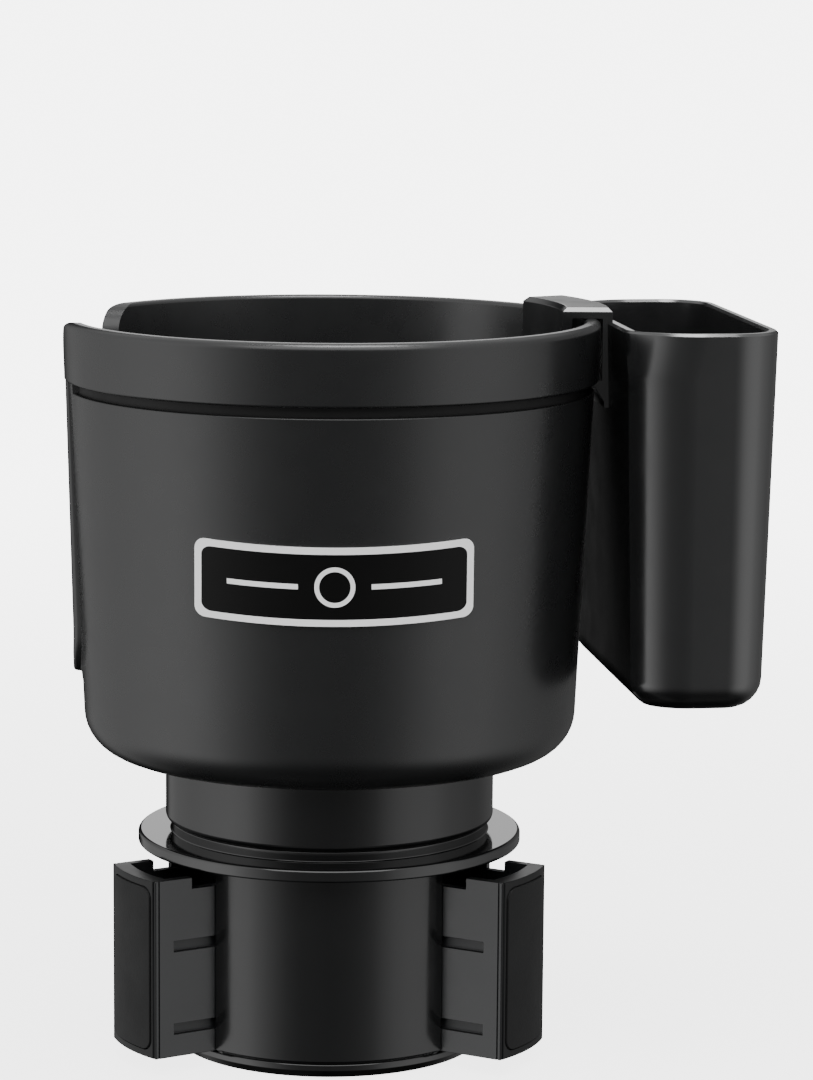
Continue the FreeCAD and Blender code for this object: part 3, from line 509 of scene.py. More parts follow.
for face in cup.data.polygons:
    spot = face.center / MM
    in_depth = groove_radius - CLOSE_BY < math.hypot(spot.x, spot.y) < WALL_HEAD_RADIUS - 3 * CLOSE_BY
    in_height = wall_head - CLOSE_BY < spot.z < band_bottom + CLOSE_BY
    face.material_index = int(in_depth and in_height)
print("cup lathed to", len(cup.data.polygons), "faces")

# %% [markdown]
# The handle slot has a raised border, and the label on the front is a thin plate. Both are flat
# shapes that follow the cup's sloping wall, so both are drawn flat and then wrapped: one tree
# reads each point as across, proud and height, finds the wall's radius at that height, and moves
# the point on to the wall.

# %% A wrap on to the cup's wall in Geometry Nodes


def wrap_tree():
    """Bends a flat piece, given as (across, proud, height), on to a cone about the Z axis."""
    tree, given = new_tree("wrap", Foot_Radius="Float", Foot_Height="Float", Slope="Float",
                           Azimuth="Float", Finish="Material")
    place = add(tree, "GeometryNodeInputPosition").outputs[0]
    across, proud, height = add(tree, "ShaderNodeSeparateXYZ", {0: place}).outputs
    climb = calculated(tree, "SUBTRACT", height, given["Foot_Height"])
    growth = calculated(tree, "MULTIPLY", climb, given["Slope"])
    wall = calculated(tree, "ADD", given["Foot_Radius"], growth)
    reach = calculated(tree, "ADD", wall, proud)
    reach_squared = calculated(tree, "MULTIPLY", reach, reach)
    across_squared = calculated(tree, "MULTIPLY", across, across)
    depth = calculated(tree, "SQRT", calculated(tree, "SUBTRACT", reach_squared, across_squared))
    bent = add(tree, "ShaderNodeCombineXYZ", {0: depth, 1: across, 2: height})
    turned = add(tree, "ShaderNodeVectorRotate", {"Vector": bent.outputs[0], "Angle": given["Azimuth"]},
                 rotation_type="Z_AXIS")
    moved = add(tree, "GeometryNodeSetPosition", {"Geometry": given["Piece"],
                                                  "Position": turned.outputs[0]})
    return end_tree(tree, moved.outputs[0], given["Finish"])


WRAP = wrap_tree()
wall_slope = (WALL_HEAD_RADIUS - FOOT_RADIUS) / (wall_head - cup_foot)


def wrap(piece, azimuth):
    """The flat piece on the cup's wall, at an azimuth in degrees."""
    return outward(grow(piece, WRAP, Foot_Radius=FOOT_RADIUS * MM, Foot_Height=cup_foot * MM,
                        Slope=wall_slope, Azimuth=math.radians(azimuth), Finish=piece.data.materials[0]))


print(f"the wall slopes by {wall_slope:.4f}")

# %% [markdown]
# The slot's outline is an upright U, with a small flare where it meets the rim. The border is a
# section swept along that U: it stands higher at its foot than under the band, its outer side runs
# out into the wall in a hollow, and its root lies inside the wall, so that the union is clean.

# %% The handle slot and its border
SLOT_AZIMUTH = 170.0
SLOT_HALF = 16.5
SLOT_FLOOR = 79.4
SLOT_ROUNDING = 8.0
SLOT_FLARE = 6.5
FLARE_SHARE = 0.99
SLOT_CUT_NEAR = 20.0
SLOT_CUT_FAR = 70.0
SLOT_CUT_PAST = 1.4
BORDER_FOOT = 1.75
BORDER_HEAD = 0.55
BORDER_SECTION = [(-2.0, -1.3), (-2.0, 1.0), (2.4, 1.0), (2.7, 0.96), (2.9, 0.82), (3.0, 0.6),
                  (3.05, 0.2), (3.3, 0.1), (4.2, 0.06), (5.2, -0.02), (5.2, -1.3)]
band_middle = band_bottom + BAND_HEIGHT / 2


def slot_outline(margin, top, flare=0.0):
    """The slot's U, grown by a margin. The flare's rounding is a hair narrower than the flare."""
    half = SLOT_HALF + margin
    low = [(-half, SLOT_FLOOR - margin, SLOT_ROUNDING + margin),
           (half, SLOT_FLOOR - margin, SLOT_ROUNDING + margin)]
    if not flare:
        return rounded([(-half, top)] + low + [(half, top)], closed=False)
    wide = half + flare
    rounding = flare * FLARE_SHARE
    return rounded([(-wide, top), (-wide, rim_top), (-half, rim_top, rounding)] + low
                   + [(half, rim_top, rounding), (wide, rim_top), (wide, top)], closed=False)


def border_height(height):
    """How far the border stands proud of the wall: less under the band than at the slot's foot."""
    share = (height - SLOT_FLOOR) / (band_middle - SLOT_FLOOR)
    return BORDER_FOOT + (BORDER_HEAD - BORDER_FOOT) * max(0.0, share)


def border_point(spot, level):
    """A point of the border: levels above zero are shares of its height, others are depths."""
    return (spot.x, level * border_height(spot.y) if level > 0 else level, spot.y)


paths = [(slot_outline(margin, band_middle), level) for margin, level in BORDER_SECTION]
sections = [[border_point(path[i], level) for path, level in paths] for i in range(len(paths[0][0]))]
border = wrap(skin("slot_border", sections, cup_plastic), SLOT_AZIMUTH)
combine(cup, border, "UNION")
slot_block = prism("slot_block", slot_outline(0.0, rim_top + SLOT_CUT_PAST, SLOT_FLARE), SLOT_AZIMUTH,
                   SLOT_CUT_NEAR, SLOT_CUT_FAR, cup_plastic)
combine(cup, slot_block, "DIFFERENCE")
hand_over(crisp(cup), "cup", "charcoal", "cup_body")

# %% [markdown]
# The label is a thin plate that bends with the cup. A frame or a ring is a band between two closed
# paths, and a field or a bar is a short row of upright sections. Both have a point every few
# millimetres, so that each bends smoothly when it is wrapped. A straight strip on a wall that widens
# upwards sags in its middle, and so does this one.

# %% Bands and bars for the label
LABEL_AZIMUTH = -89.1
LABEL_WIDTH = 53.4
LABEL_HEIGHT = 15.2
LABEL_ROUNDING = 2.0
LABEL_SAG = 1.0
LABEL_STEP = 1.5
label_middle = sum(corner.z for corner in box_mm("label_plate")) / 2


def finer(points):
    """The closed path with points added wherever two lie further apart than a step."""
    path = []
    for here, there in zip(points, points[1:] + points[:1]):
        cuts = max(1, math.ceil((there - here).length / LABEL_STEP))
        path += [here.lerp(there, k / cuts) for k in range(cuts)]
    return path


def label_height(x, y):
    """The height of a point of the label, whose middle sags a little below its ends."""
    return label_middle + y + LABEL_SAG * (2 * x / LABEL_WIDTH) ** 2


def band_piece(name, outer, inner, back, front, finish):
    """A flat band between two closed paths with as many points, with a thickness."""
    sections = [[(a.x, back, label_height(a.x, a.y)), (a.x, front, label_height(a.x, a.y)),
                 (b.x, front, label_height(b.x, b.y)), (b.x, back, label_height(b.x, b.y))]
                for a, b in zip(outer, inner)]
    return wrap(skin(name, sections, finish, ring=True), LABEL_AZIMUTH)


def bar_piece(name, start, end, half_height, back, front, finish):
    """A flat bar from start to end across the label, as a row of upright sections."""
    cuts = max(2, math.ceil((end - start) / LABEL_STEP))
    sections = []
    for k in range(cuts + 1):
        x = start + (end - start) * k / cuts
        low, high = label_height(x, -half_height), label_height(x, half_height)
        sections.append([(x, back, low), (x, front, low), (x, front, high), (x, back, high)])
    return wrap(skin(name, sections, finish), LABEL_AZIMUTH)


print(f"label middle at z {label_middle:.1f} mm")

# %% [markdown]
# The frame follows the plate's rounded outline, and its inner path is the outer one drawn in, so
# that both have as many points. The field reaches a little under the frame, so no gap can show.

# %% The label's frame and field
FRAME_WIDTH = 1.3
FRAME_FRONT = 0.6
FIELD_FRONT = 0.5
FIELD_INSET = FRAME_WIDTH * 0.6
frame_white = moulded("label_frame_white", 0.93, 0.0, 0.30, 0.5, 0.02)
field_black = moulded("label_field_black", 0.003, 0.0, 0.40, 0.5, 0.03, specular=0.12)
wide, high = LABEL_WIDTH / 2, LABEL_HEIGHT / 2
outer_path = finer(rounded([(x, y, LABEL_ROUNDING) for x, y in
                            ((-wide, -high), (wide, -high), (wide, high), (-wide, high))], closed=False))
inner_path = [Vector((p.x * (1 - FRAME_WIDTH / wide), p.y * (1 - FRAME_WIDTH / high))) for p in outer_path]
frame_piece = band_piece("label_frame", outer_path, inner_path, 0.0, FRAME_FRONT, frame_white)
hand_over(crisp(frame_piece), "cup", "label", "label_plate")
field = bar_piece("label_field", FIELD_INSET - wide, wide - FIELD_INSET, high - FIELD_INSET, 0.0,
                  FIELD_FRONT, field_black)
hand_over(crisp(field), "cup", "label")

# %% [markdown]
# The marks stand for what a real label says: a plain ring between two bars. They start inside the
# field and end a hair above it, so that the two never share a plane and flicker.

# %% The label's marks
MARK_BACK = 0.4
MARK_FRONT = 0.56
RING_RADII = (3.9, 3.0)
RING_POINTS = 48
BAR_START = 7.0
BAR_END = 20.5
BAR_HALF = 0.5


def circle_path(radius):
    """A closed path around a circle."""
    angles = [2 * math.pi * k / RING_POINTS for k in range(RING_POINTS)]
    return [Vector((radius * math.cos(angle), radius * math.sin(angle))) for angle in angles]


marks = [band_piece("ring", *[circle_path(radius) for radius in RING_RADII], MARK_BACK, MARK_FRONT,
                    frame_white)]
for start, end in ((-BAR_END, -BAR_START), (BAR_START, BAR_END)):
    marks.append(bar_piece("bar", start, end, BAR_HALF, MARK_BACK, MARK_FRONT, frame_white))
hand_over(crisp(joined("label_marks", marks)), "cup", "label")

# %% [markdown]
# Flange, collar and neck are simple turned rings. Their edges carry the highlights of the
# photograph, so each of them has a real rounding. They take their radii and heights from the solid
# parts that they stand for.

# %% The turning flange and the neck
flange_low, flange_high = box_mm("turn_flange")
neck_low, neck_high = box_mm("neck")
BORE = 7.06
FLANGE_LOWER_EDGE = 0.5
FLANGE_UPPER_EDGE = 0.7
COLLAR_RADIUS = 32.4
COLLAR_HEIGHT = 2.0
COLLAR_ROOT = 0.25
COLLAR_EDGE = 0.2
NECK_WALL = 2.4
NECK_FLOOR = 3.0
NECK_LEAD = 1.6
NECK_EDGE = 0.3
flange_step = flange_high.z - COLLAR_HEIGHT
flange = lathe("flange_ring", [
    (BORE, flange_low.z), (flange_high.x, flange_low.z, FLANGE_LOWER_EDGE),
    (flange_high.x, flange_step, FLANGE_UPPER_EDGE), (COLLAR_RADIUS, flange_step, COLLAR_ROOT),
    (COLLAR_RADIUS, flange_high.z, COLLAR_EDGE), (BORE, flange_high.z),
], gloss_plastic)
hand_over(crisp(flange), "cup", "gloss_black", "turn_flange")
neck_hollow = neck_high.x - NECK_WALL
neck = lathe("neck_tube", [
    (BORE, neck_low.z), (neck_high.x, neck_low.z, NECK_LEAD), (neck_high.x, neck_high.z, NECK_EDGE),
    (neck_hollow, neck_high.z), (neck_hollow, neck_low.z + NECK_FLOOR, NECK_LEAD),
    (BORE, neck_low.z + NECK_FLOOR),
], housing_plastic)
hand_over(crisp(neck), "cup", "satin_black", "neck")

# %% [markdown]
# The mat on the cup's floor keeps a wet cup from sliding. It is turned too, and its moulded rings
# are a loop over the profile: each ring is a shallow channel with four softened corners.

# %% The ringed mat
mat_low, mat_high = box_mm("cup_mat")
MAT_EDGE = 0.5
MAT_RINGS = 5
RING_DEPTH = 0.8
RING_WIDTH = 1.6
RING_EDGE = 0.25
mat_profile = [(0.0, mat_low.z), (mat_high.x, mat_low.z), (mat_high.x, mat_high.z, MAT_EDGE)]
for k in range(MAT_RINGS, 0, -1):
    middle = mat_high.x * k / (MAT_RINGS + 1)
    outer, inner = middle + RING_WIDTH / 2, middle - RING_WIDTH / 2
    channel = mat_high.z - RING_DEPTH
    mat_profile += [(outer, mat_high.z, RING_EDGE), (outer, channel, RING_EDGE),
                    (inner, channel, RING_EDGE), (inner, mat_high.z, RING_EDGE)]
mat_profile.append((0.0, mat_high.z))
mat = lathe("ringed_mat", mat_profile, mat_rubber, segments=128)
hand_over(crisp(mat), "cup", "rubber", "cup_mat")

# %% [markdown]
# The phone pocket is a row of plans, each a rectangle with rounded corners: round the foot, up the
# outside, over the chamfered lip and down the inside. A subdivided box would be quicker, but plans
# keep each corner's radius and the draft of the walls true. The flat side next to the cup meets the
# two near corners in a crease, which softens towards the mouth, as on the real one.

# %% The pocket's shell
POCKET_AZIMUTH = 6.8
POCKET_SHIFT = 4.6
POCKET_NEAR = 55.1
POCKET_WIDTH = 30.9
POCKET_LENGTH = 78.4
POCKET_HEIGHT = 75.7
POCKET_DROP = 0.5
POCKET_WALL = 2.2
POCKET_FLOOR = 2.6
POCKET_DRAFT = 2.05
FAR_ROUNDING = 10.6
NEAR_ROUNDING = 16.0
LEAST_CORNER = 0.5
CREASE = 36.0
EAR_CREASE = 22.0
EAR_HEIGHT = 9.0
LIP = 0.5
CORNER_STEPS = 10
pocket_top = rim_top - POCKET_DROP
pocket_bottom = pocket_top - POCKET_HEIGHT
pocket_turn = Matrix.Rotation(math.radians(POCKET_AZIMUTH), 3, "Z")


def pocket_plan(height, inset, inside=False):
    """The pocket's plan at a height, shrunk by an inset: always with as many points."""
    shrink = inset + POCKET_DRAFT * (pocket_top - height) / POCKET_HEIGHT
    ear = 0.0 if inside else max(0.0, 1 - (pocket_top - height) / EAR_HEIGHT)
    crease = CREASE + (EAR_CREASE - CREASE) * ear
    low_u, high_u = POCKET_NEAR + shrink, POCKET_NEAR + POCKET_WIDTH - shrink
    low_v = POCKET_SHIFT - POCKET_LENGTH / 2 + shrink
    high_v = POCKET_SHIFT + POCKET_LENGTH / 2 - shrink
    points = []
    for u, v, first, last, rounding in ((low_u, low_v, 180 + crease, 270, NEAR_ROUNDING),
                                        (high_u, low_v, 270, 360, FAR_ROUNDING),
                                        (high_u, high_v, 0, 90, FAR_ROUNDING),
                                        (low_u, high_v, 90, 180 - crease, NEAR_ROUNDING)):
        radius = max(rounding - shrink, LEAST_CORNER)
        centre_u = u + (radius * math.cos(math.radians(crease)) if u == low_u else -radius)
        centre_v = v + (radius if v == low_v else -radius)
        for step in range(CORNER_STEPS + 1):
            angle = math.radians(first + (last - first) * step / CORNER_STEPS)
            points.append(pocket_turn @ Vector((centre_u + radius * math.cos(angle),
                                                centre_v + radius * math.sin(angle), height)))
    return points


print("points in a plan:", len(pocket_plan(pocket_top, 0.0)))

# %% [markdown]
# Most plans lie at even steps up or down a wall. Those of a rounded foot follow a quarter circle
# instead, so that the light rolls round it. The faces that close the row's ends are the pocket's
# bottom and its floor.

# %% The plans from foot to mouth and down to the floor
FOOT_EASE = 6.0
FLOOR_EASE = 3.0
FOOT_STEPS = 6
WALL_STEPS = 8
EAR_STEPS = 5
FLOOR_STEPS = 4


def wall_plans(start, end, steps, inset, inside=False):
    """Plans at even steps from a height to another, the first height left out."""
    return [pocket_plan(start + (end - start) * step / steps, inset, inside)
            for step in range(1, steps + 1)]


def foot_plan(bottom, ease, share, inset, inside=False):
    """A plan on a rounded foot, from the rounding's top at share 0 to its bottom at share 1."""
    angle = math.radians(90 * share)
    return pocket_plan(bottom + ease * (1 - math.sin(angle)), inset + ease * (1 - math.cos(angle)), inside)


ear_foot = pocket_top - EAR_HEIGHT
lip_foot = pocket_top - LIP
hollow_floor = pocket_bottom + POCKET_FLOOR
plans = [foot_plan(pocket_bottom, FOOT_EASE, step / FOOT_STEPS, 0.0) for step in range(FOOT_STEPS, -1, -1)]
plans += wall_plans(pocket_bottom + FOOT_EASE, ear_foot, WALL_STEPS, 0.0)
plans += wall_plans(ear_foot, lip_foot, EAR_STEPS, 0.0)
plans.append(pocket_plan(pocket_top, LIP))
plans.append(pocket_plan(pocket_top, POCKET_WALL - LIP, inside=True))
plans.append(pocket_plan(lip_foot, POCKET_WALL, inside=True))
plans += wall_plans(lip_foot, hollow_floor + FLOOR_EASE, WALL_STEPS, POCKET_WALL, inside=True)
plans += [foot_plan(hollow_floor, FLOOR_EASE, step / FLOOR_STEPS, POCKET_WALL, inside=True)
          for step in range(1, FLOOR_STEPS + 1)]
pocket = skin("pocket", plans, pocket_plastic)
print("pocket shell through", len(plans), "plans")

# %% [markdown]
# The hook is a clip that follows the rim: a leg inside the cup, a roof over the rim, a skirt
# outside the band and a catch that snaps under it. One section shows all of them, so it is swept
# about the cup's axis for a few steps.

# %% The hook over the rim
HOOK_START = POCKET_AZIMUTH - 7.1
HOOK_SWEEP = 31.8
HOOK_STEPS = 16
HOOK_RISE = 2.3
HOOK_DROP = 18.0
HOOK_BEVEL = 0.9
HOOK_EASE = 0.1
HOOK_GAP = 0.3
LEG_INNER = 46.45
LEG_OUTER = 48.45
SKIRT_INNER = 55.0
SKIRT_OUTER = 56.57
CATCH_EDGE = 53.2
CATCH_REACH = 52.1
CATCH_DROP = 4.6
hook_top = rim_top + HOOK_RISE
hook_low = rim_top - HOOK_DROP
band_room = RIM_RADIUS + HOOK_GAP
catch_ledge = wall_head + HOOK_GAP
catch_roof = band_bottom - HOOK_GAP
HOOK_SECTION = [
    (LEG_INNER, hook_low), (LEG_INNER, hook_top), (SKIRT_OUTER, hook_top), (SKIRT_OUTER, hook_low),
    (SKIRT_INNER, hook_low), (SKIRT_INNER, band_bottom - CATCH_DROP), (CATCH_EDGE, catch_ledge),
    (CATCH_REACH, catch_ledge), (CATCH_REACH, catch_roof), (band_room, catch_roof),
    (band_room, rim_top), (LEG_OUTER, rim_top), (LEG_OUTER, hook_low),
]
sections = []
for step in range(HOOK_STEPS + 1):
    angle = math.radians(HOOK_START + HOOK_SWEEP * step / HOOK_STEPS)
    sections.append([(r * math.cos(angle), r * math.sin(angle), z) for r, z in HOOK_SECTION])
hook = skin("hook", sections, pocket_plastic)
print("hook swept through", len(sections), "sections")

# %% [markdown]
# The roof's outline gets a flat chamfer, because that is the line which shines white in the
# photograph. It is made before the other edges are eased, while the roof is still one level face
# for each step. The roof itself is duller than the moulding, so its faces take the matt finish.

# %% The hook's chamfer, and hook and pocket as one
LEVEL = 0.99
SAME_HEIGHT = 0.05


def is_roof(normal, middle):
    """Whether a face is level and lies at the hook's top."""
    return normal.z > LEVEL and abs(middle.z / MM - hook_top) < SAME_HEIGHT


def chamfer_roof(piece):
    """Takes a flat chamfer off the outline of the hook's roof."""
    work = bmesh.new()
    work.from_mesh(piece.data)
    roof = [face for face in work.faces if is_roof(face.normal, face.calc_center_median())]
    outline = [edge for edge in {e for face in roof for e in face.edges}
               if sum(face in roof for face in edge.link_faces) == 1]
    bmesh.ops.bevel(work, geom=outline, offset=HOOK_BEVEL * MM, offset_type="OFFSET", segments=1,
                    profile=0.5, affect="EDGES")
    work.to_mesh(piece.data)
    work.free()
    return piece


def eased_edges(piece, width_mm):
    """A narrow rounding along every edge that turns by more than the crisp angle."""
    bevel = piece.modifiers.new("eased", "BEVEL")
    bevel.width = width_mm * MM
    bevel.segments = 2
    bevel.limit_method = "ANGLE"
    bevel.angle_limit = CRISP_ANGLE
    return frozen(piece)


combine(pocket, eased_edges(chamfer_roof(hook), HOOK_EASE), "UNION")
crisp(pocket)
pocket.data.materials.append(face_plastic)
for face in pocket.data.polygons:
    face.material_index = int(is_roof(face.normal, face.center))
hand_over(pocket, "cup", "pocket_black", "phone_pocket")

# %% [markdown]
# The arms, their pads and the housing keep the exact forms of their solids. A solid's mesh comes as
# loose triangles, so a copy is merged, its flat faces are joined again, and a narrow rounding along
# its crisp edges gives the soft line of light that every moulded edge shows.

# %% Copies of the solids with eased edges
SAME_POINT = 0.000002
FLAT_ANGLE = math.radians(0.5)


def eased(name, node, finish, width_mm):
    """A merged copy of a solid with its crisp edges eased by a narrow rounding."""
    piece = link_object(name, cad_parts[node].data.copy())
    piece.data.materials.clear()
    piece.data.materials.append(finish)
    work = bmesh.new()
    work.from_mesh(piece.data)
    bmesh.ops.remove_doubles(work, verts=work.verts, dist=SAME_POINT)
    bmesh.ops.dissolve_limit(work, angle_limit=FLAT_ANGLE, verts=work.verts, edges=work.edges)
    work.to_mesh(piece.data)
    work.free()
    return crisp(eased_edges(piece, width_mm))


print("merging points within", SAME_POINT / MM, "mm")

# %% [markdown]
# A fine seam runs up each edge of an arm's face, on the cheek and again on the face. Long thin boxes
# cut them. All four boxes go into one boolean, which is quicker and safer than four.

# %% The seams along an arm's face
ARM_HALF = 9.3
CHEEK_BAND = 0.4
SEAM = 0.4
SEAM_DEPTH = 0.3
SEAM_BACK = 0.56
CUT_ROOM = 1.5


def arm_frame(azimuth):
    """Directions out along an arm and across it."""
    turn = Matrix.Rotation(math.radians(azimuth), 3, "Z")
    return turn @ Vector((1, 0, 0)), turn @ Vector((0, 1, 0))


def seam_cutters(arm, node, azimuth):
    """Four upright boxes, one for each seam of an arm."""
    low, high = box_mm(node)
    heights = (low.z - CUT_ROOM, high.z + CUT_ROOM)
    along, across = arm_frame(azimuth)
    corners = [v.co / MM for v in arm.data.vertices]
    reach = max(c.dot(along) for c in corners if abs(c.dot(across)) > ARM_HALF - CHEEK_BAND)
    on_cheek = (reach - SEAM_BACK - SEAM, reach - SEAM_BACK, ARM_HALF - SEAM_DEPTH, ARM_HALF + CUT_ROOM)
    on_face = (reach - SEAM_DEPTH, reach + CUT_ROOM, ARM_HALF - 2 * SEAM, ARM_HALF - SEAM)
    boxes = []
    for side in (-1, 1):
        for near, far, inner, outer in (on_cheek, on_face):
            plan = [along * u + across * side * v
                    for u, v in ((near, inner), (far, inner), (far, outer), (near, outer))]
            sections = [[spot + Vector((0, 0, z)) for spot in plan] for z in heights]
            boxes.append(skin("seam", sections, arm_plastic))
    return joined("seams", boxes)


print("seams of", SEAM, "mm, cut", SEAM_DEPTH, "mm deep")

# %% [markdown]
# One moulding can have several finishes, because its tool was polished in one place and blasted in
# another. The faces are told apart by where they lie and which way they point, and each gets the
# number of its material slot.

# %% The finishes of an arm
SQUARE_ON = 0.9
FACING_OUT = 0.8
FACE_FROM = 40.0
CHANNEL_FROM = 7.9
CHANNEL_TO = 8.8


def arm_finishes(arm, azimuth):
    """Gives the bowed face and the top their matt finish, and the channels' floors theirs."""
    along, across = arm_frame(azimuth)
    arm.data.materials.append(face_plastic)
    arm.data.materials.append(channel_plastic)
    for face in arm.data.polygons:
        spot = face.center / MM
        bowed = face.normal.dot(along) > FACING_OUT and spot.dot(along) > FACE_FROM
        channel = (abs(face.normal.dot(across)) > SQUARE_ON
                   and CHANNEL_FROM < abs(spot.dot(across)) < CHANNEL_TO)
        face.material_index = 1 if bowed or face.normal.z > SQUARE_ON else 2 if channel else 0
    return arm


print("slots of an arm:", arm_plastic.name, face_plastic.name, channel_plastic.name)

# %% [markdown]
# Now the three arms and their pads are made by one loop, each on its own body, because the arms
# slide apart. The rubber is softer than the plastic, so its edges are eased more.

# %% The arms, their pads and the housing
ARM_AZIMUTHS = {"left": 210.0, "right": 330.0, "back": 90.0}
PLASTIC_EASE = 0.2
RUBBER_EASE = 0.3
for side, azimuth in ARM_AZIMUTHS.items():
    node = f"arm_{side}"
    arm = eased(f"{side}_arm", node, arm_plastic, PLASTIC_EASE)
    combine(arm, seam_cutters(arm, node, azimuth), "DIFFERENCE")
    hand_over(arm_finishes(crisp(arm), azimuth), node, "arm_grey", node)
    grip = eased(f"{side}_grip", f"grip_pad_{side}", pad_rubber, RUBBER_EASE)
    hand_over(grip, node, "rubber", f"grip_pad_{side}")
housing = eased("housing", "base_housing", housing_plastic, PLASTIC_EASE)
hand_over(housing, "base", "satin_black", "base_housing")

# %% [markdown]
# The base cover is the glossy disc that the whole part stands on. Its foot is drawn in a little,
# which leaves the dark line between the part and the floor. It comes off the lathe like the flange.

# %% The base cover
COVER_EDGE = 1.3
COVER_RISE = 1.6
COVER_FOOT_ROUNDING = 0.4
COVER_ROUNDING = 0.5
cover_low, cover_high = box_mm("base_cover")
cover = lathe("foot_cover", [
    (0.0, cover_low.z), (cover_high.x - COVER_EDGE, cover_low.z, COVER_FOOT_ROUNDING),
    (cover_high.x, cover_low.z + COVER_RISE, COVER_ROUNDING),
    (cover_high.x, cover_high.z, COVER_ROUNDING), (0.0, cover_high.z),
], gloss_plastic)
hand_over(crisp(cover), "base", "gloss_black", "base_cover")

# %% [markdown]
# Inner pieces and plain turned pieces already have their final form, so their solids stay and only
# take their finish, by way of the object's material slots.

# %% Finishes for the solids that stay
KEPT = {
    "cover_screws": steel, "pivot_screw": steel, "pivot_washer": steel, "cup_screws": steel,
    "scroll_screws": steel, "scroll_disc": scroll_plastic, "thrust_ring": scroll_plastic,
}
for name, finish in KEPT.items():
    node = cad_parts[name]
    node.data.materials.clear()
    node.data.materials.append(finish)
print("kept solids:", len(KEPT))

# %% [markdown]
# The camera is fitted to the circles of the base, flange, neck and rim: it looks slightly down
# from arm's length. Its lens is given for a picture 24 mm high, and its turn is built from
# heading, pitch and roll, in that order.

# %% The camera
CAMERA_PLACE = Vector((0.0, -768.4, 220.87)) * MM
PITCH = 0.1516
HEADING = 0.02
ROLL = 0.0079
FOCAL_PIXELS = 3830.6
PICTURE_HEIGHT = 1080.0
SENSOR = 24.0
lens = bpy.data.cameras.new("camera")
lens.sensor_fit = "VERTICAL"
lens.sensor_height = SENSOR
lens.lens = FOCAL_PIXELS / PICTURE_HEIGHT * SENSOR
lens.clip_start = 0.01
camera = link_object("camera", lens)
turn = (Matrix.Rotation(-HEADING, 3, "Z") @ Matrix.Rotation(math.pi / 2 - PITCH, 3, "X")
        @ Matrix.Rotation(ROLL, 3, "Z"))
camera.matrix_world = Matrix.Translation(CAMERA_PLACE) @ turn.to_4x4()
bpy.context.scene.camera = camera
print(f"lens {lens.lens:.1f} mm at {CAMERA_PLACE.length:.3f} m")

# %% [markdown]
# Dark glossy plastic is lit by what it mirrors, so the studio is drawn as a ring of light around
# the part, given by angles from the front and their brightness. It is dim in front, with a wide
# glow to the left and a weaker one to the right. Straight behind it is black, because a wall seen
# at a slant mirrors that side strongly. Far below the horizon it is dim too.

# %% The ring of light
RING = [(-180, 0.0), (-166, 0.0), (-158, 0.05), (-150, 0.4), (-134, 0.55), (-112, 0.95), (-88, 1.6),
        (-72, 1.9), (-60, 1.8), (-49, 1.2), (-40, 0.8), (-30, 0.42), (-20, 0.26), (0, 0.2), (14, 0.24),
        (24, 0.34), (32, 0.5), (38, 0.8), (48, 1.15), (60, 1.3), (75, 1.25), (92, 0.8), (113, 0.45),
        (126, 0.3), (160, 0.15), (180, 0.0)]
RING_PEAK = 2.0
LOW_LIGHT = 0.1


def faded(tree, value, start, end, low=0.0, high=1.0):
    """A soft change from low to high while the value goes from start to end."""
    return add(tree, "ShaderNodeMapRange", {"Value": value, "From Min": start, "From Max": end,
                                            "To Min": low, "To Max": high},
               interpolation_type="SMOOTHSTEP").outputs["Result"]


world = bpy.data.worlds.new("studio")
world.use_nodes = True
sky = world.node_tree
ray = add(sky, "ShaderNodeTexCoord").outputs["Generated"]
sideways, ahead, up = add(sky, "ShaderNodeSeparateXYZ", {0: ray}).outputs
angle = calculated(sky, "ARCTAN2", sideways, calculated(sky, "MULTIPLY", ahead, -1.0))
share = calculated(sky, "ADD", calculated(sky, "DIVIDE", angle, 2 * math.pi), 0.5)
ramp = add(sky, "ShaderNodeValToRGB", {"Fac": share})
stops = ramp.color_ramp.elements
for degrees, level in RING[1:-1]:
    stops.new(degrees / 360 + 0.5)
for stop, (_, level) in zip(stops, RING):
    stop.color = grey(level / RING_PEAK)
dimmed_low = faded(sky, up, -0.85, -0.45, LOW_LIGHT, RING_PEAK)
ring_light = calculated(sky, "MULTIPLY", ramp.outputs["Color"], dimmed_low)
print("ring of light from", len(stops), "stops")

# %% [markdown]
# Over that ring come three more tones. A narrow backdrop straight behind the part lights only what
# lies level, such as the flange's top. The ceiling lights all that faces up. The camera's own rays
# see plain white in place of both.

# %% The backdrop, the ceiling and what the camera sees
WHITE = 6.0
BACKDROP = 1.3
CEILING = 1.2
raised = faded(sky, up, -0.02, 0.06)
behind = faded(sky, calculated(sky, "ABSOLUTE", angle), math.radians(171), math.radians(176))
backdrop = mixed(sky, calculated(sky, "MULTIPLY", raised, behind), ring_light, BACKDROP)
glow = mixed(sky, faded(sky, up, 0.35, 0.8), backdrop, CEILING)
seen = add(sky, "ShaderNodeLightPath").outputs["Is Camera Ray"]
feed(sky, sky.nodes["Background"], {"Color": grey(1.0), "Strength": mixed(sky, seen, glow, WHITE)})
bpy.context.scene.world = world
print("backdrop", BACKDROP, "ceiling", CEILING, "seen as", WHITE)

# %% [markdown]
# The floor is pale near the part and runs out into the same white as the sky, so that no horizon
# shows. Only the camera sees it. To all other rays it is clear, so the ring alone decides what the
# part mirrors.

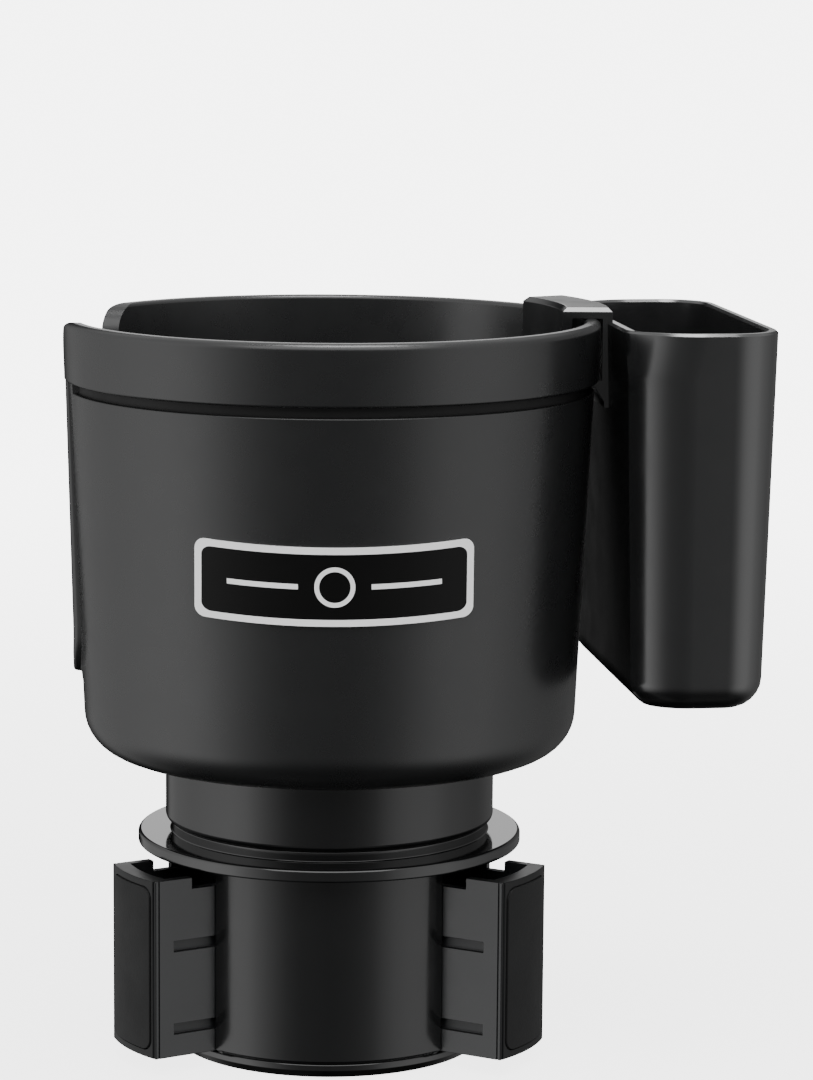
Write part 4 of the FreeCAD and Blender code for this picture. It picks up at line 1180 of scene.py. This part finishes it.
# %% The floor
FLOOR_HALF = 6.0
FLOOR_LEVEL = -0.0002
WHITE_FROM = 0.05
WHITE_BY = 0.9
LEAST_WHITE = 0.6
floor_mesh = bpy.data.meshes.new("floor")
floor_mesh.from_pydata([(x * FLOOR_HALF, y * FLOOR_HALF, FLOOR_LEVEL)
                        for x, y in ((-1, -1), (1, -1), (1, 1), (-1, 1))], [], [(0, 1, 2, 3)])
floor = link_object("floor", floor_mesh)
floor_paint, tree, pale = new_material("floor_white")
feed(tree, pale, {"Base Color": grey(0.85), "Roughness": 0.7})
place = add(tree, "ShaderNodeTexCoord").outputs["Object"]
distance = add(tree, "ShaderNodeVectorMath", {0: place}, operation="LENGTH").outputs["Value"]
far = faded(tree, distance, WHITE_FROM, WHITE_BY, LEAST_WHITE)
white = add(tree, "ShaderNodeEmission", {"Color": grey(1.0), "Strength": WHITE})
blend = add(tree, "ShaderNodeMixShader", {0: far, 1: pale.outputs[0], 2: white.outputs[0]})
clear = add(tree, "ShaderNodeBsdfTransparent")
seen = add(tree, "ShaderNodeLightPath").outputs["Is Camera Ray"]
paint = add(tree, "ShaderNodeMixShader", {0: seen, 1: clear.outputs[0], 2: blend.outputs[0]})
feed(tree, tree.nodes["Material Output"], {"Surface": paint.outputs[0]})
floor_mesh.materials.append(floor_paint)
print("floor", 2 * FLOOR_HALF, "m wide")

# %% [markdown]
# Two soft boxes finish the studio. The upper one is small and bright, and the hook's chamfer,
# which leans by 45 degrees, mirrors it as a white line. The one in front is large and weak, and
# fills the faces of the arms.

# %% The soft boxes


def soft_box(name, place, aim, width, height, power):
    """A rectangular light at a place, facing the aim."""
    light = bpy.data.lights.new(name, "AREA")
    light.shape = "RECTANGLE"
    light.size = width
    light.size_y = height
    light.energy = power
    made = link_object(name, light)
    made.location = place
    made.rotation_euler = (Vector(aim) - Vector(place)).to_track_quat("-Z", "Y").to_euler()


soft_box("top_box", place=(0.06, -0.17, 1.2), aim=(0.0, 0.0, 0.08), width=0.5, height=0.5, power=11.0)
soft_box("front_box", place=(0.0, -0.9, 1.0), aim=(0.0, 0.0, 0.1), width=1.6, height=1.0, power=12.0)
